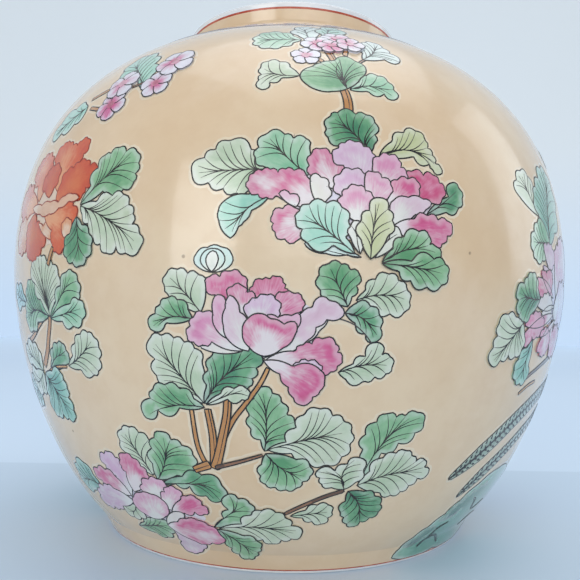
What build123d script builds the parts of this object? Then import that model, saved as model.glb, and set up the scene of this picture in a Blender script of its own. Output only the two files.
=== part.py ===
"""Globular porcelain ginger jar with a short neck and no cover.

The jar stands on +Z with its axis on Z and its standing face at z = 0. Sizes are in
millimetres. It is made the way such a jar is potted: a lower and an upper bowl luted
together at the belly, a neck luted on at the shoulder and a turned foot ring, all under
coats of glaze and enamel. Every piece is a solid of revolution, and two pieces that touch
take their shared face from the same curve.
"""
from build123d import *
import math
import os

# Outside of the finished jar
FOOT_R = 81.5            # outer radius of the foot at the standing face
FOOT_TOP_R = 86.0        # radius where the foot meets the body
FOOT_H = 8.0             # height of the foot ring
FOOT_TURN = 46.5         # slope of the body just above the foot, degrees from level
BELLY_R = 125.0          # widest radius
BELLY_Z = 113.0          # height of the widest radius
SHOULDER_R = 63.0        # radius where the shoulder starts to turn up into the neck
SHOULDER_Z = 210.5       # height of that turn
SHOULDER_FALL = 24.0     # slope of the shoulder there, degrees from level
NECK_R = 50.0            # outer radius at the root of the straight neck
NECK_RISE = 8.0          # height of the curved run from shoulder to neck
COLLAR_H = 6.7           # height of the straight neck under the lip
LIP_OUT = 0.5            # how far the neck spreads over that height
LIP_ROUND = 1.6          # height of the rounded lip

# Fullness of the body curves: the pull at each end as a part of the span it crosses
LOWER_FOOT_PULL = 0.87
LOWER_BELLY_PULL = 0.32
UPPER_BELLY_PULL = 0.66
UPPER_SHOULDER_PULL = 0.47
NECK_SHOULDER_PULL = 0.82
NECK_TOP_PULL = 0.38
ROUND_PULL = 0.5523      # makes a quarter of an ellipse

# Inside
BODY_WALL = 6.0          # finished wall of the body
MOUTH_R = 45.0           # bore of the mouth, inside the glaze
BORE_DEPTH = 10.5        # straight bore below the lip
BASE_T = 6.5             # clay floor above the foot ring
FLOOR_LIFT = 6.0         # rise of the curve from the floor to the wall
FLOOR_BEND = 20.0        # run of that curve
HEEL_TURN = 55.0         # slope of the inner wall where it leaves the floor, degrees from level
HEEL_PULL = 0.85         # fullness of the inner wall at the floor
INNER_BELLY_PULL = 0.37  # and at the belly
FLOOR_PULL = 0.5         # fullness of the curve from the floor
THROAT_PULL = 0.5        # fullness of the inner curve from shoulder to mouth

# Foot ring
STANDING_W = 6.0         # width of the bare standing face
FOOT_LEAN_IN = 2.5       # how far the ring's inner wall leans in over its height
FOOT_EASE = 0.4          # bevel of the standing face's two edges
BARE_IN = 2.0            # unglazed height on the ring's inner wall

# Coats, lines and luting slip
COAT = 0.35              # thickness of every glaze and enamel coat
SLIP_T = 1.0             # thickness of the luting slip
NECK_JOINT_UP = 2.5      # height of the neck joint above the shoulder turn
BARE_OUT = 0.4           # bare clay under the outer glaze
FOOT_WHITE_H = 0.8       # white strip under the foot line
FOOT_LINE_H = 0.5        # painted line round the foot
RIM_LINE_H = 0.9         # painted line under the lip
RIM_LINE_DROP = 1.35     # from the foot of the rounded lip down to the line's top edge
LIP_COAT_IN = 3.0        # how far the lip's glaze runs down inside the mouth

NECK_Z = SHOULDER_Z + NECK_RISE
LIP_Z = NECK_Z + COLLAR_H
LIP_R = NECK_R + LIP_OUT
FLOOR_Z = FOOT_H + BASE_T
FOOT_LINE_Z = BARE_OUT + FOOT_WHITE_H
GROUND_Z = FOOT_LINE_Z + FOOT_LINE_H
RIM_LINE_Z = LIP_Z - RIM_LINE_DROP
BELLY_UP = Vector(0, 0, 1)


def at(radius, height):
    """Point of the half section at a radius and a height."""
    return Vector(radius, 0, height)


def heading(degrees):
    """Direction in the half section, in degrees up from straight outwards."""
    angle = math.radians(degrees)
    return Vector(math.cos(angle), 0, math.sin(angle))


def bend(start, start_way, start_pull, end, end_way, end_pull):
    """Smooth curve that leaves start along start_way and reaches end along end_way."""
    return Bezier(start, start + start_way * start_pull, end - end_way * end_pull, end)


def foot_wall_r(height):
    """Outer radius of the foot at a height."""
    return FOOT_R + (FOOT_TOP_R - FOOT_R) * height / FOOT_H


def neck_wall_r(height):
    """Outer radius of the straight neck at a height."""
    return NECK_R + LIP_OUT * (height - NECK_Z) / COLLAR_H


def outside(inset):
    """Body curves from the foot to the root of the neck, a coat's depth under the surface."""
    up_foot = heading(FOOT_TURN)
    up_shoulder = heading(180 - SHOULDER_FALL)
    sink = Vector(-up_shoulder.Z, 0, up_shoulder.X) * inset
    foot = at(FOOT_TOP_R - inset, FOOT_H)
    belly = at(BELLY_R - inset, BELLY_Z)
    shoulder = at(SHOULDER_R, SHOULDER_Z) + sink
    neck = at(NECK_R - inset, NECK_Z)
    low_run = belly.X - foot.X
    low_rise = belly.Z - foot.Z
    high_run = belly.X - shoulder.X
    high_rise = shoulder.Z - belly.Z
    lower = bend(foot, up_foot, LOWER_FOOT_PULL * low_run,
                 belly, BELLY_UP, LOWER_BELLY_PULL * low_rise)
    upper = bend(belly, BELLY_UP, UPPER_BELLY_PULL * high_rise,
                 shoulder, up_shoulder, UPPER_SHOULDER_PULL * high_run)
    turn = bend(shoulder, up_shoulder, NECK_SHOULDER_PULL * (shoulder.X - neck.X),
                neck, BELLY_UP, NECK_TOP_PULL * (neck.Z - shoulder.Z))
    return [lower, upper, turn]


def inside(inset):
    """Inner curves from the floor to the bore of the mouth; inset is from the outer surface."""
    depth = BODY_WALL - inset
    up_wall = heading(HEEL_TURN)
    up_shoulder = heading(180 - SHOULDER_FALL)
    sink = Vector(-up_shoulder.Z, 0, up_shoulder.X) * inset
    heel_z = FLOOR_Z + COAT - depth + FLOOR_LIFT
    slope = math.radians(FOOT_TURN)
    along = (heel_z - FOOT_H - inset * math.cos(slope)) / math.sin(slope)
    heel = at(FOOT_TOP_R - inset * math.sin(slope) + along * math.cos(slope), heel_z)
    floor = at(heel.X - FLOOR_BEND, heel.Z - FLOOR_LIFT)
    belly = at(BELLY_R - inset, BELLY_Z)
    shoulder = at(SHOULDER_R, SHOULDER_Z) + sink
    bore = at(MOUTH_R + depth, LIP_Z - BORE_DEPTH)
    corner = bend(floor, heading(0), FLOOR_PULL * FLOOR_BEND, heel, up_wall, FLOOR_LIFT)
    lower = bend(heel, up_wall, HEEL_PULL * (belly.X - heel.X),
                 belly, BELLY_UP, INNER_BELLY_PULL * (belly.Z - heel.Z))
    upper = bend(belly, BELLY_UP, UPPER_BELLY_PULL * (shoulder.Z - belly.Z),
                 shoulder, up_shoulder, UPPER_SHOULDER_PULL * (belly.X - shoulder.X))
    turn = bend(shoulder, up_shoulder, THROAT_PULL * (shoulder.X - bore.X),
                bore, BELLY_UP, THROAT_PULL * (bore.Z - shoulder.Z))
    return floor, [corner, lower, upper, turn], bore


def lip_round(depth):
    """The two curves over the lip, from the outer wall to the bore, depth under the glaze."""
    outer = at(LIP_R - depth, LIP_Z)
    inner = at(MOUTH_R + depth, LIP_Z)
    crown = at((outer.X + inner.X) / 2, LIP_Z + LIP_ROUND - depth)
    reach = ROUND_PULL * (outer.X - crown.X)
    rise = ROUND_PULL * (crown.Z - LIP_Z)
    down = Vector(0, 0, -1)
    inwards = Vector(-1, 0, 0)
    return [bend(outer, BELLY_UP, rise, crown, inwards, reach),
            bend(crown, inwards, reach, inner, down, rise)]


def turned(edges):
    """Solid of revolution of a closed half section."""
    return revolve(make_face(Wire(edges)), Axis.Z, 360)


def strip(low, high, wall_r):
    """A coat's ring on a straight wall between two heights."""
    corners = [at(wall_r(low) - COAT, low), at(wall_r(low), low),
               at(wall_r(high), high), at(wall_r(high) - COAT, high)]
    return turned(Polyline(*corners, close=True).edges())


def clay_body():
    """The whole body of clay above the foot ring, before it is divided at its joints."""
    floor, inner, bore = inside(BODY_WALL - COAT)
    lip = lip_round(COAT)
    outer = outside(COAT)
    edges = [Line(at(0, FOOT_H), outer[0] @ 0)]
    edges += outer
    edges.append(Line(outer[-1] @ 1, lip[0] @ 0))
    edges += lip
    edges.append(Line(lip[-1] @ 1, bore))
    edges += reversed(inner)
    edges.append(Line(floor, at(0, floor.Z)))
    edges.append(Line(at(0, floor.Z), at(0, FOOT_H)))
    return turned(edges)


def between(body, low, high):
    """The part of a body between two heights; None leaves that side open."""
    if low is not None:
        body = split(body, bisect_by=Plane.XY.offset(low), keep=Keep.TOP)
    if high is not None:
        body = split(body, bisect_by=Plane.XY.offset(high), keep=Keep.BOTTOM)
    return body


def clay_pieces():
    """Two bowls, the neck and the slip that joins them."""
    body = clay_body()
    half = SLIP_T / 2
    neck_joint = SHOULDER_Z + NECK_JOINT_UP
    return {
        "lower_bowl": between(body, None, BELLY_Z - half),
        "belly_lute": between(body, BELLY_Z - half, BELLY_Z + half),
        "upper_bowl": between(body, BELLY_Z + half, neck_joint - half),
        "neck_lute": between(body, neck_joint - half, neck_joint + half),
        "neck_ring": between(body, neck_joint + half, None),
    }


def foot_inner_r(height):
    """Radius of the foot ring's inner wall at a height."""
    return FOOT_R - COAT - STANDING_W - FOOT_LEAN_IN * height / FOOT_H


def foot_ring():
    """Turned foot ring with a bare standing face and eased edges."""
    outer = FOOT_R - COAT
    inner = outer - STANDING_W
    corners = [at(inner + FOOT_EASE, 0), at(outer - FOOT_EASE, 0),
               at(foot_wall_r(FOOT_EASE) - COAT, FOOT_EASE), at(FOOT_TOP_R - COAT, FOOT_H),
               at(foot_inner_r(FOOT_H), FOOT_H), at(foot_inner_r(FOOT_EASE), FOOT_EASE)]
    return turned(Polyline(*corners, close=True).edges())


def base_glaze():
    """White coat on the recessed base and on the ring's inner wall."""
    corners = [at(0, FOOT_H), at(foot_inner_r(FOOT_H), FOOT_H),
               at(foot_inner_r(BARE_IN), BARE_IN), at(foot_inner_r(BARE_IN) - COAT, BARE_IN),
               at(foot_inner_r(FOOT_H) - COAT, FOOT_H - COAT), at(0, FOOT_H - COAT)]
    return turned(Polyline(*corners, close=True).edges())


def ground_enamel():
    """Coloured ground from the foot line to the rim line."""
    skin = outside(0)
    clay = outside(COAT)
    edges = [Line(at(foot_wall_r(GROUND_Z), GROUND_Z), skin[0] @ 0)]
    edges += skin
    edges.append(Line(skin[-1] @ 1, at(neck_wall_r(RIM_LINE_Z - RIM_LINE_H), RIM_LINE_Z - RIM_LINE_H)))
    edges.append(Line(edges[-1] @ 1, edges[-1] @ 1 - Vector(COAT, 0, 0)))
    edges.append(Line(edges[-1] @ 1, clay[-1] @ 1))
    edges += reversed(clay)
    edges.append(Line(clay[0] @ 0, at(foot_wall_r(GROUND_Z) - COAT, GROUND_Z)))
    edges.append(Line(edges[-1] @ 1, edges[0] @ 0))
    return turned(edges)


def lip_glaze():
    """White coat over the lip, from the rim line to just inside the mouth."""
    over = lip_round(0)
    under = lip_round(COAT)
    low_in = LIP_Z - LIP_COAT_IN
    start = at(neck_wall_r(RIM_LINE_Z), RIM_LINE_Z)
    edges = [Line(start, over[0] @ 0)]
    edges += over
    edges.append(Line(over[-1] @ 1, at(MOUTH_R, low_in)))
    edges.append(Line(at(MOUTH_R, low_in), at(MOUTH_R + COAT, low_in)))
    edges.append(Line(at(MOUTH_R + COAT, low_in), under[-1] @ 1))
    edges += reversed(under)
    edges.append(Line(under[0] @ 0, start - Vector(COAT, 0, 0)))
    edges.append(Line(start - Vector(COAT, 0, 0), start))
    return turned(edges)


def inner_glaze():
    """Clear coat over the whole inside, up to the lip's own coat."""
    clay_floor, clay, clay_bore = inside(BODY_WALL - COAT)
    floor, skin, bore = inside(BODY_WALL)
    top = LIP_Z - LIP_COAT_IN
    edges = [Line(at(0, clay_floor.Z), clay_floor)]
    edges += clay
    edges.append(Line(clay_bore, at(clay_bore.X, top)))
    edges.append(Line(at(clay_bore.X, top), at(bore.X, top)))
    edges.append(Line(at(bore.X, top), bore))
    edges += reversed(skin)
    edges.append(Line(floor, at(0, floor.Z)))
    edges.append(Line(at(0, floor.Z), at(0, clay_floor.Z)))
    return turned(edges)


def all_pieces():
    """Every piece of the jar by name."""
    pieces = clay_pieces()
    pieces["foot_ring"] = foot_ring()
    pieces["base_glaze"] = base_glaze()
    pieces["inner_glaze"] = inner_glaze()
    pieces["lip_glaze"] = lip_glaze()
    pieces["ground_enamel"] = ground_enamel()
    pieces["foot_glaze"] = strip(BARE_OUT, FOOT_LINE_Z, foot_wall_r)
    pieces["foot_line"] = strip(FOOT_LINE_Z, GROUND_Z, foot_wall_r)
    pieces["rim_line"] = strip(RIM_LINE_Z - RIM_LINE_H, RIM_LINE_Z, neck_wall_r)
    return pieces


os.makedirs("parts", exist_ok=True)
for name, solid in all_pieces().items():
    export_step(solid, os.path.join("parts", name + ".step"))
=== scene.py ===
import math

import bpy
import numpy as np
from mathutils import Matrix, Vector
from mathutils.bvhtree import BVHTree
from mathutils.geometry import delaunay_2d_cdt


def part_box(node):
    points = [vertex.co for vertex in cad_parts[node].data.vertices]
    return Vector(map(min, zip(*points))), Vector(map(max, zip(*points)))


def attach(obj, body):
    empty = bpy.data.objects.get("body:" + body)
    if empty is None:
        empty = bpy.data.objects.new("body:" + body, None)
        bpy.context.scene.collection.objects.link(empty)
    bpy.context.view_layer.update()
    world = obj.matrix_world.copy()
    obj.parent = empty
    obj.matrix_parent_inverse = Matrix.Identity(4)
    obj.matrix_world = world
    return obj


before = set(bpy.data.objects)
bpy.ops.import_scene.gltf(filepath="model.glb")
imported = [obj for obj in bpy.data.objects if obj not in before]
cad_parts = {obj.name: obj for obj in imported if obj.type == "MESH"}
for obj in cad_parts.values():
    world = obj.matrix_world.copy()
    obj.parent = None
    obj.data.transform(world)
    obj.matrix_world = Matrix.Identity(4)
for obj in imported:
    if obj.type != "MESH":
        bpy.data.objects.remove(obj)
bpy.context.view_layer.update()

# The jar stands on z = 0 with its axis on the z axis, and its front faces -y.
# Places on the wall are given as (turn, up): degrees round from the front, to the viewer's right,
# and millimetres of wall measured upwards along the profile from the table.
MM = 0.001

# how the enamel lies on the ground coat, in mm
SUNK = 0.12
FIRST_LAYER = 0.10
LAYER_STEP = 0.05
HALO_RISE = 0.07
HALO_SUNK = 0.03
INK_RISE = 0.07
INK_SUNK = 0.03
OUTLINE_W = 0.58
VEIN_W = 0.54
PETAL_LINE_W = 0.52
BAR_W = 1.5
BAR_SPACING = 2.6
HALO_W = 1.9
HALO_OUT = 0.45

# spacing of points in the enamel, in mm
OUTLINE_STEP = 0.9
INK_STEP = 1.1
GRID_STEP = 1.9
RIM_INSET = 0.75
RIM_GAP = 0.55
GRID_GAP = 1.5
HALO_STEP = 1.54

# leaves: a lobe wider than LOBE_VEIN mm has a vein of its own, and no vein runs nearer than VEIN_CLEAR
# to the edge; the spine and the veins are measured as parts of the leaf's length
LOBE_VEIN = 4.5
VEIN_CLEAR = 0.9
SHORTEST_VEIN = 2.2
SPINE_END = 0.9
FAN_SPINE_END = 0.82
SPINE_BOW = 0.03
VEIN_BACK = 0.34

# petals: a lobe longer than FRILL mm is split in two when the petal's lobes swell more than this
FRILL = 4.6
FRILL_OUT = 0.16
FRILLED_SWELL = 0.3
BLOSSOM_SWELL = 0.22

# how far the two long sides of each kind of shape bow out, as a part of their length
SIDE_SWELL = {"leaf": 0.08, "petal": 0.10, "wash": 0.02}

# added to the distance from the edge where a stroke has no pale margin
NO_MARGIN = 5.0

SHARP_ANGLE = math.radians(50)


def linear(red, green, blue):
    """Linear colour of 0-255 values."""
    def one(value):
        value /= 255
        return value / 12.92 if value <= 0.04045 else ((value + 0.055) / 1.055) ** 2.4
    return one(red), one(green), one(blue), 1.0


# the ink of the strokes that are outlined in iron red
RED = "iron_red"

# colour near the spine or heart, then colour near the rim
PALETTE = {
    "green": ((88, 152, 102), (144, 188, 142)),
    "deep": ((56, 126, 88), (112, 168, 122)),
    "light": ((126, 186, 146), (170, 206, 172)),
    "pale": ((182, 200, 166), (208, 216, 190)),
    "olive": ((190, 196, 142), (206, 208, 164)),
    "turquoise": ((142, 204, 180), (170, 214, 192)),
    "teal": ((98, 166, 146), (150, 202, 178)),
    "bud": ((222, 226, 204), (176, 212, 200)),
    "thread": ((50, 44, 42), (72, 62, 56)),
    "chalk": ((214, 216, 198), (224, 222, 208)),
    "ice": ((200, 222, 210), (216, 228, 220)),
    "magenta": ((231, 218, 217), (212, 88, 138)),
    "rose": ((228, 168, 186), (204, 64, 116)),
    "pink": ((231, 225, 218), (218, 142, 176)),
    "lilac": ((228, 224, 220), (214, 170, 198)),
    "blush": ((228, 224, 215), (220, 184, 198)),
    "white": ((228, 224, 208), (228, 216, 208)),
    "coral": ((234, 156, 104), (216, 84, 22)),
    "vermilion": ((218, 106, 44), (208, 72, 12)),
    "apricot": ((236, 206, 178), (222, 142, 88)),
    "shell": ((238, 212, 186), (228, 180, 146)),
    "blossom": ((208, 84, 140), (228, 224, 232)),
    "heart": ((176, 44, 92), (212, 84, 134)),
    "bark": ((194, 134, 74), (214, 160, 100)),
    "twig": ((104, 70, 50), (150, 104, 74)),
    "rock": ((96, 156, 132), (146, 190, 166)),
    "moss": ((58, 104, 84), (84, 138, 110)),
    "crack": ((46, 66, 58), (60, 84, 72)),
    "plume": ((146, 166, 146), (182, 194, 172)),
    "wash": ((222, 214, 228), (226, 214, 218)),
    "warm_wash": ((234, 206, 180), (232, 200, 170)),
}


# ---------------------------------------------------------------- the wall, as a chart

class Wall:
    """The outside of the ground enamel, read from its own faces: radius and height against mm of wall."""

    def __init__(self):
        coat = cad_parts["ground_enamel"]
        tree = BVHTree.FromObject(coat, bpy.context.evaluated_depsgraph_get())
        low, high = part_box("ground_enamel")
        far = high.x + 0.05
        heights = np.arange(low.z / MM + 0.1, high.z / MM - 0.1, 0.25)
        radii = []
        for height in heights:
            reach = 0.0
            for turn in np.radians((7, 52, 97, 142, 187, 232, 277, 322)):
                out = Vector((math.sin(turn), -math.cos(turn), 0))
                hit = tree.ray_cast(out * far + Vector((0, 0, height * MM)), -out)[0]
                if hit is not None:
                    reach = max(reach, math.hypot(hit.x, hit.y))
            radii.append(reach / MM)
        radii = np.array(radii)
        steps = np.hypot(np.diff(radii), np.diff(heights))
        self.radius = radii
        self.height = heights
        self.up = np.concatenate(([0.0], np.cumsum(steps))) + heights[0] * 1.05
        soft = np.ones(9) / 9
        slope_r = np.convolve(np.gradient(radii, self.up), soft, "same")
        slope_z = np.convolve(np.gradient(heights, self.up), soft, "same")
        length = np.hypot(slope_r, slope_z)
        self.out_r = slope_z / length
        self.out_z = -slope_r / length

    def radius_at(self, up):
        return np.interp(up, self.up, self.radius)

    def spots(self, chart, lift):
        """Points in metres for (turn, up) rows, each raised by lift mm along the wall's normal."""
        up = chart[:, 1]
        turn = np.radians(chart[:, 0])
        radius = np.interp(up, self.up, self.radius) + lift * np.interp(up, self.up, self.out_r)
        height = np.interp(up, self.up, self.height) + lift * np.interp(up, self.up, self.out_z)
        return np.column_stack((radius * np.sin(turn), -radius * np.cos(turn), height)) * MM

    def flat(self, chart, about):
        """(turn, up) rows as local mm, x to the right and y up, about one point of the wall."""
        wide = math.radians(1) * self.radius_at(about[1])
        return np.column_stack(((chart[:, 0] - about[0]) * wide, chart[:, 1] - about[1]))

    def chart(self, flat, about):
        """Local mm back to (turn, up) rows."""
        wide = math.radians(1) * self.radius_at(about[1])
        return np.column_stack((flat[:, 0] / wide + about[0], flat[:, 1] + about[1]))


WALL = Wall()


# ---------------------------------------------------------------- plane geometry, in local mm

def swelled(start, end, swell, step):
    """Points from start up to end on a bow that stands swell times its length to the right."""
    start = np.array(start, float)
    end = np.array(end, float)
    run = end - start
    length = math.hypot(*run)
    count = max(2, math.ceil(length * (1 + 2 * abs(swell)) / step))
    t = np.arange(count) / count
    side = np.array((run[1], -run[0])) * swell
    return start + np.outer(t, run) + np.outer(4 * t * (1 - t), side)


def flowing(points, step):
    """A smooth line through the points, about one point every step mm."""
    points = np.array(points, float)
    if len(points) == 2:
        count = max(2, math.ceil(math.hypot(*(points[1] - points[0])) / step))
        return points[0] + np.outer(np.linspace(0, 1, count + 1), points[1] - points[0])
    padded = np.vstack((2 * points[0] - points[1], points, 2 * points[-1] - points[-2]))
    made = []
    for p0, p1, p2, p3 in zip(padded, padded[1:], padded[2:], padded[3:]):
        count = max(2, math.ceil(math.hypot(*(p2 - p1)) / step))
        t = (np.arange(count) / count)[:, None]
        made.append(0.5 * (2 * p1 + (p2 - p0) * t + (2 * p0 - 5 * p1 + 4 * p2 - p3) * t ** 2
                           + (3 * p1 - p0 - 3 * p2 + p3) * t ** 3))
    made.append(points[-1:])
    return np.vstack(made)


def area_of(loop):
    x, y = loop[:, 0], loop[:, 1]
    return 0.5 * float(np.sum(x * np.roll(y, -1) - np.roll(x, -1) * y))


def inside(points, loop):
    """Which points lie within the closed loop."""
    x, y = points[:, 0][:, None], points[:, 1][:, None]
    x0, y0 = loop[:, 0][None], loop[:, 1][None]
    x1, y1 = np.roll(x0, -1, 1), np.roll(y0, -1, 1)
    rise = np.where(y1 == y0, 1e-12, y1 - y0)
    crossed = ((y0 > y) != (y1 > y)) & (x < (x1 - x0) * (y - y0) / rise + x0)
    return crossed.sum(1) % 2 == 1


def distance(points, line, closed):
    """Shortest distance from each point to a line of points."""
    ends = np.roll(line, -1, 0) if closed else line[1:]
    starts = line if closed else line[:-1]
    run = ends - starts
    square = np.maximum((run ** 2).sum(1), 1e-12)
    gap = points[:, None] - starts[None]
    t = np.clip((gap * run[None]).sum(2) / square[None], 0, 1)
    return np.sqrt(((gap - t[:, :, None] * run[None]) ** 2).sum(2)).min(1)


# ---------------------------------------------------------------- strokes and patches

class Stroke:
    """One painted shape: a closed outline, its colour, its heart and its veins."""

    def __init__(self, kind, colour, base, outline, veins, rim, ink):
        self.kind = kind
        self.colour = colour
        self.about = base
        self.outline = outline
        self.veins = veins
        self.rim = rim
        self.ink = ink
        self.level = 1
        self.chart = WALL.chart(outline, base)
        self.low = self.chart.min(0)
        self.high = self.chart.max(0)

    def meets(self, other):
        return bool(np.all(self.low < other.high) and np.all(other.low < self.high))

    def covers(self, chart):
        """Which (turn, up) rows this stroke's outline holds."""
        held = np.zeros(len(chart), bool)
        near = np.all((chart > self.low) & (chart < self.high), axis=1)
        if near.any():
            held[near] = inside(chart[near], self.chart)
        return held


def rounded(rim, swell, side_swell):
    """A closed outline from (0, 0), round the lobes between rim points, and back, anticlockwise."""
    rim = np.array(rim, float)
    base = np.zeros(2)
    corners = np.vstack((base, rim))
    if area_of(corners) < 0:
        rim = rim[::-1]
    parts = [swelled(base, rim[0], side_swell, OUTLINE_STEP)]
    for one, other in zip(rim, rim[1:]):
        parts.append(swelled(one, other, swell, OUTLINE_STEP))
    lobes = np.vstack(parts[1:] + [rim[-1:]])
    parts.append(swelled(rim[-1], base, side_swell, OUTLINE_STEP))
    return np.vstack(parts), lobes


def frilled(rim):
    """The rim with one more notch, set outwards, in every lobe that is longer than a frill."""
    made = [rim[0]]
    turned = 1 if area_of(np.vstack(((0, 0), rim))) > 0 else -1
    for one, other in zip(rim, rim[1:]):
        gap = other - one
        if math.hypot(*gap) > FRILL:
            made.append((one + other) / 2 + turned * np.array((gap[1], -gap[0])) * FRILL_OUT)
        made.append(other)
    return np.array(made)


def leaf_veins(outline, rim, fan):
    """A spine and a vein to each notch, none along the leaf's own edge. On a fan all leave near the base."""
    reach = np.hypot(rim[:, 0], rim[:, 1])
    tip = rim[int(np.argmax(reach))]
    length = max(float(reach.max()), 1e-6)
    along = tip / length
    across = np.array((-along[1], along[0]))
    veins = []
    spine_end = FAN_SPINE_END if fan else SPINE_END
    lean = float(outline.mean(0) @ across)
    bow = across * (length * SPINE_BOW + lean * 0.8)
    t = np.linspace(0, spine_end, max(4, int(length / INK_STEP)))[:, None]
    veins.append(t * tip + 4 * t * (1 - t) * bow)
    wide_lobes = [(one, other) for one, other in zip(rim, rim[1:]) if math.hypot(*(other - one)) > LOBE_VEIN]
    mids = [(one + other) / 2 for one, other in wide_lobes]
    for target in list(rim[1:-1]) + mids:
        if np.allclose(target, tip):
            continue
        forward = float(target @ along) / length
        start = 0.12 * max(0.0, forward) if fan else max(0.06, forward - VEIN_BACK)
        leave = start * tip + 4 * start * (1 - start) * bow
        gap = target - leave
        if math.hypot(*gap) < SHORTEST_VEIN:
            continue
        hold = leave + along * math.hypot(*gap) * 0.42
        stop = leave + gap * 0.99
        t = np.linspace(0, 1, max(4, int(math.hypot(*gap) / INK_STEP)))[:, None]
        vein = (1 - t) ** 2 * leave + 2 * t * (1 - t) * hold + t ** 2 * stop
        body = vein[1:max(2, round(len(vein) * 0.7))]
        if inside(body, outline).all() and distance(body, outline, True).min() > VEIN_CLEAR:
            veins.append(vein)
    return veins


def leaf(colour, base, *rim, fan=False, swell=0.33):
    return ("leaf", colour, base, rim, dict(fan=fan, swell=swell, ink="ink"))


def petal(colour, base, *rim, swell=0.36, ink="ink"):
    return ("petal", colour, base, rim, dict(swell=swell, ink=ink))


def red_petal(colour, base, *rim, swell=0.36):
    return petal(colour, base, *rim, swell=swell, ink=RED)


def stem(colour, width, *points, ink="ink"):
    return ("stem", colour, points[0], points, dict(width=width, ink=ink))


def wash(colour, base, *rim):
    return ("wash", colour, base, rim, dict(swell=0.06, ink=None))


def plume(width, *points):
    return ("plume", "plume", points[0], points, dict(width=width))


def blossom(turn, up, radius=5.2, tilt=0.0):
    return ("blossom", "blossom", (turn, up), (), dict(radius=radius, tilt=tilt))


def flat_points(points, base):
    return WALL.flat(np.array(points, float).reshape(-1, 2), base)


def limb_outline(line, widths):
    """The closed outline of a limb that follows line with the given widths."""
    run = np.gradient(line, axis=0)
    run /= np.maximum(np.hypot(run[:, 0], run[:, 1]), 1e-9)[:, None]
    side = np.column_stack((run[:, 1], -run[:, 0])) * (widths / 2)[:, None]
    loop = np.vstack((line + side, (line - side)[::-1]))
    return loop if area_of(loop) > 0 else loop[::-1]


def strokes_from(entry):
    """The strokes that one entry of a spray stands for."""
    kind, colour, base, points, how = entry
    if kind in SIDE_SWELL:
        rim = flat_points(points, base)
        if kind == "petal" and how["swell"] > FRILLED_SWELL:
            rim = frilled(rim)
        outline, lobes = rounded(rim, how["swell"], SIDE_SWELL[kind])
        veins = leaf_veins(outline, rim, how["fan"]) if kind == "leaf" else []
        return [Stroke(kind, colour, base, outline, veins, lobes, how["ink"])]
    if kind == "stem":
        line = flowing(flat_points(points, base), OUTLINE_STEP)
        t = np.linspace(0, 1, len(line))
        first, last = how["width"]
        outline = limb_outline(line, first + (last - first) * t)
        grain = [line + np.array((0.12, 0.0)) * first] if first > 1.8 else []
        return [Stroke(kind, colour, base, outline, grain, outline, how["ink"])]
    if kind == "plume":
        return plume_strokes(base, points, how["width"])
    return blossom_strokes(base, how["radius"], how["tilt"])


def plume_strokes(base, points, width):
    """A long tail feather: a body that fills out from its tip, a quill and slanted dark bars."""
    line = flowing(flat_points(points, base), OUTLINE_STEP)
    travelled = np.concatenate(([0], np.cumsum(np.hypot(*np.diff(line, axis=0).T))))
    widths = width * np.minimum(1, 0.12 + (travelled / (2.6 * width)) ** 0.6)
    run = np.gradient(line, axis=0)
    run /= np.hypot(run[:, 0], run[:, 1])[:, None]
    side = np.column_stack((run[:, 1], -run[:, 0]))
    bars = [line]
    for at in np.arange(2.0, travelled[-1] - 3, BAR_SPACING):
        k = min(int(np.searchsorted(travelled, at)), len(line) - 1)
        half = widths[k] * 0.46
        t = np.linspace(0, 1, 5)[:, None]
        for hand in (-1, 1):
            for inner, outer in ((0.08, 0.46), (0.62, 1.0)):
                reach = inner + (outer - inner) * t
                bars.append(line[k] + side[k] * hand * half * reach + run[k] * 1.8 * reach ** 2)
    outline = limb_outline(line, widths)
    return [Stroke("plume", "plume", base, outline, bars, outline, "ink")]


def blossom_strokes(base, radius, tilt):
    """A small five-petalled plum blossom with a coloured heart."""
    made = []
    for k in range(5):
        aim = math.radians(90 + 72 * k + tilt)
        rim = []
        for off in (-33, -12, 12, 33):
            reach = radius * (0.86 if abs(off) > 20 else 1.0)
            rim.append((math.cos(aim + math.radians(off)) * reach,
                        math.sin(aim + math.radians(off)) * reach))
        outline, lobes = rounded(rim, BLOSSOM_SWELL, 0.12)
        made.append(Stroke("petal", "blossom", base, outline, [], lobes, "ink"))
    ring = np.radians(np.arange(0, 360, 30))
    heart = np.column_stack((np.cos(ring), np.sin(ring))) * radius * 0.27
    made.append(Stroke("petal", "heart", base, heart, [], heart, None))
    return made


# ---------------------------------------------------------------- meshes

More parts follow.
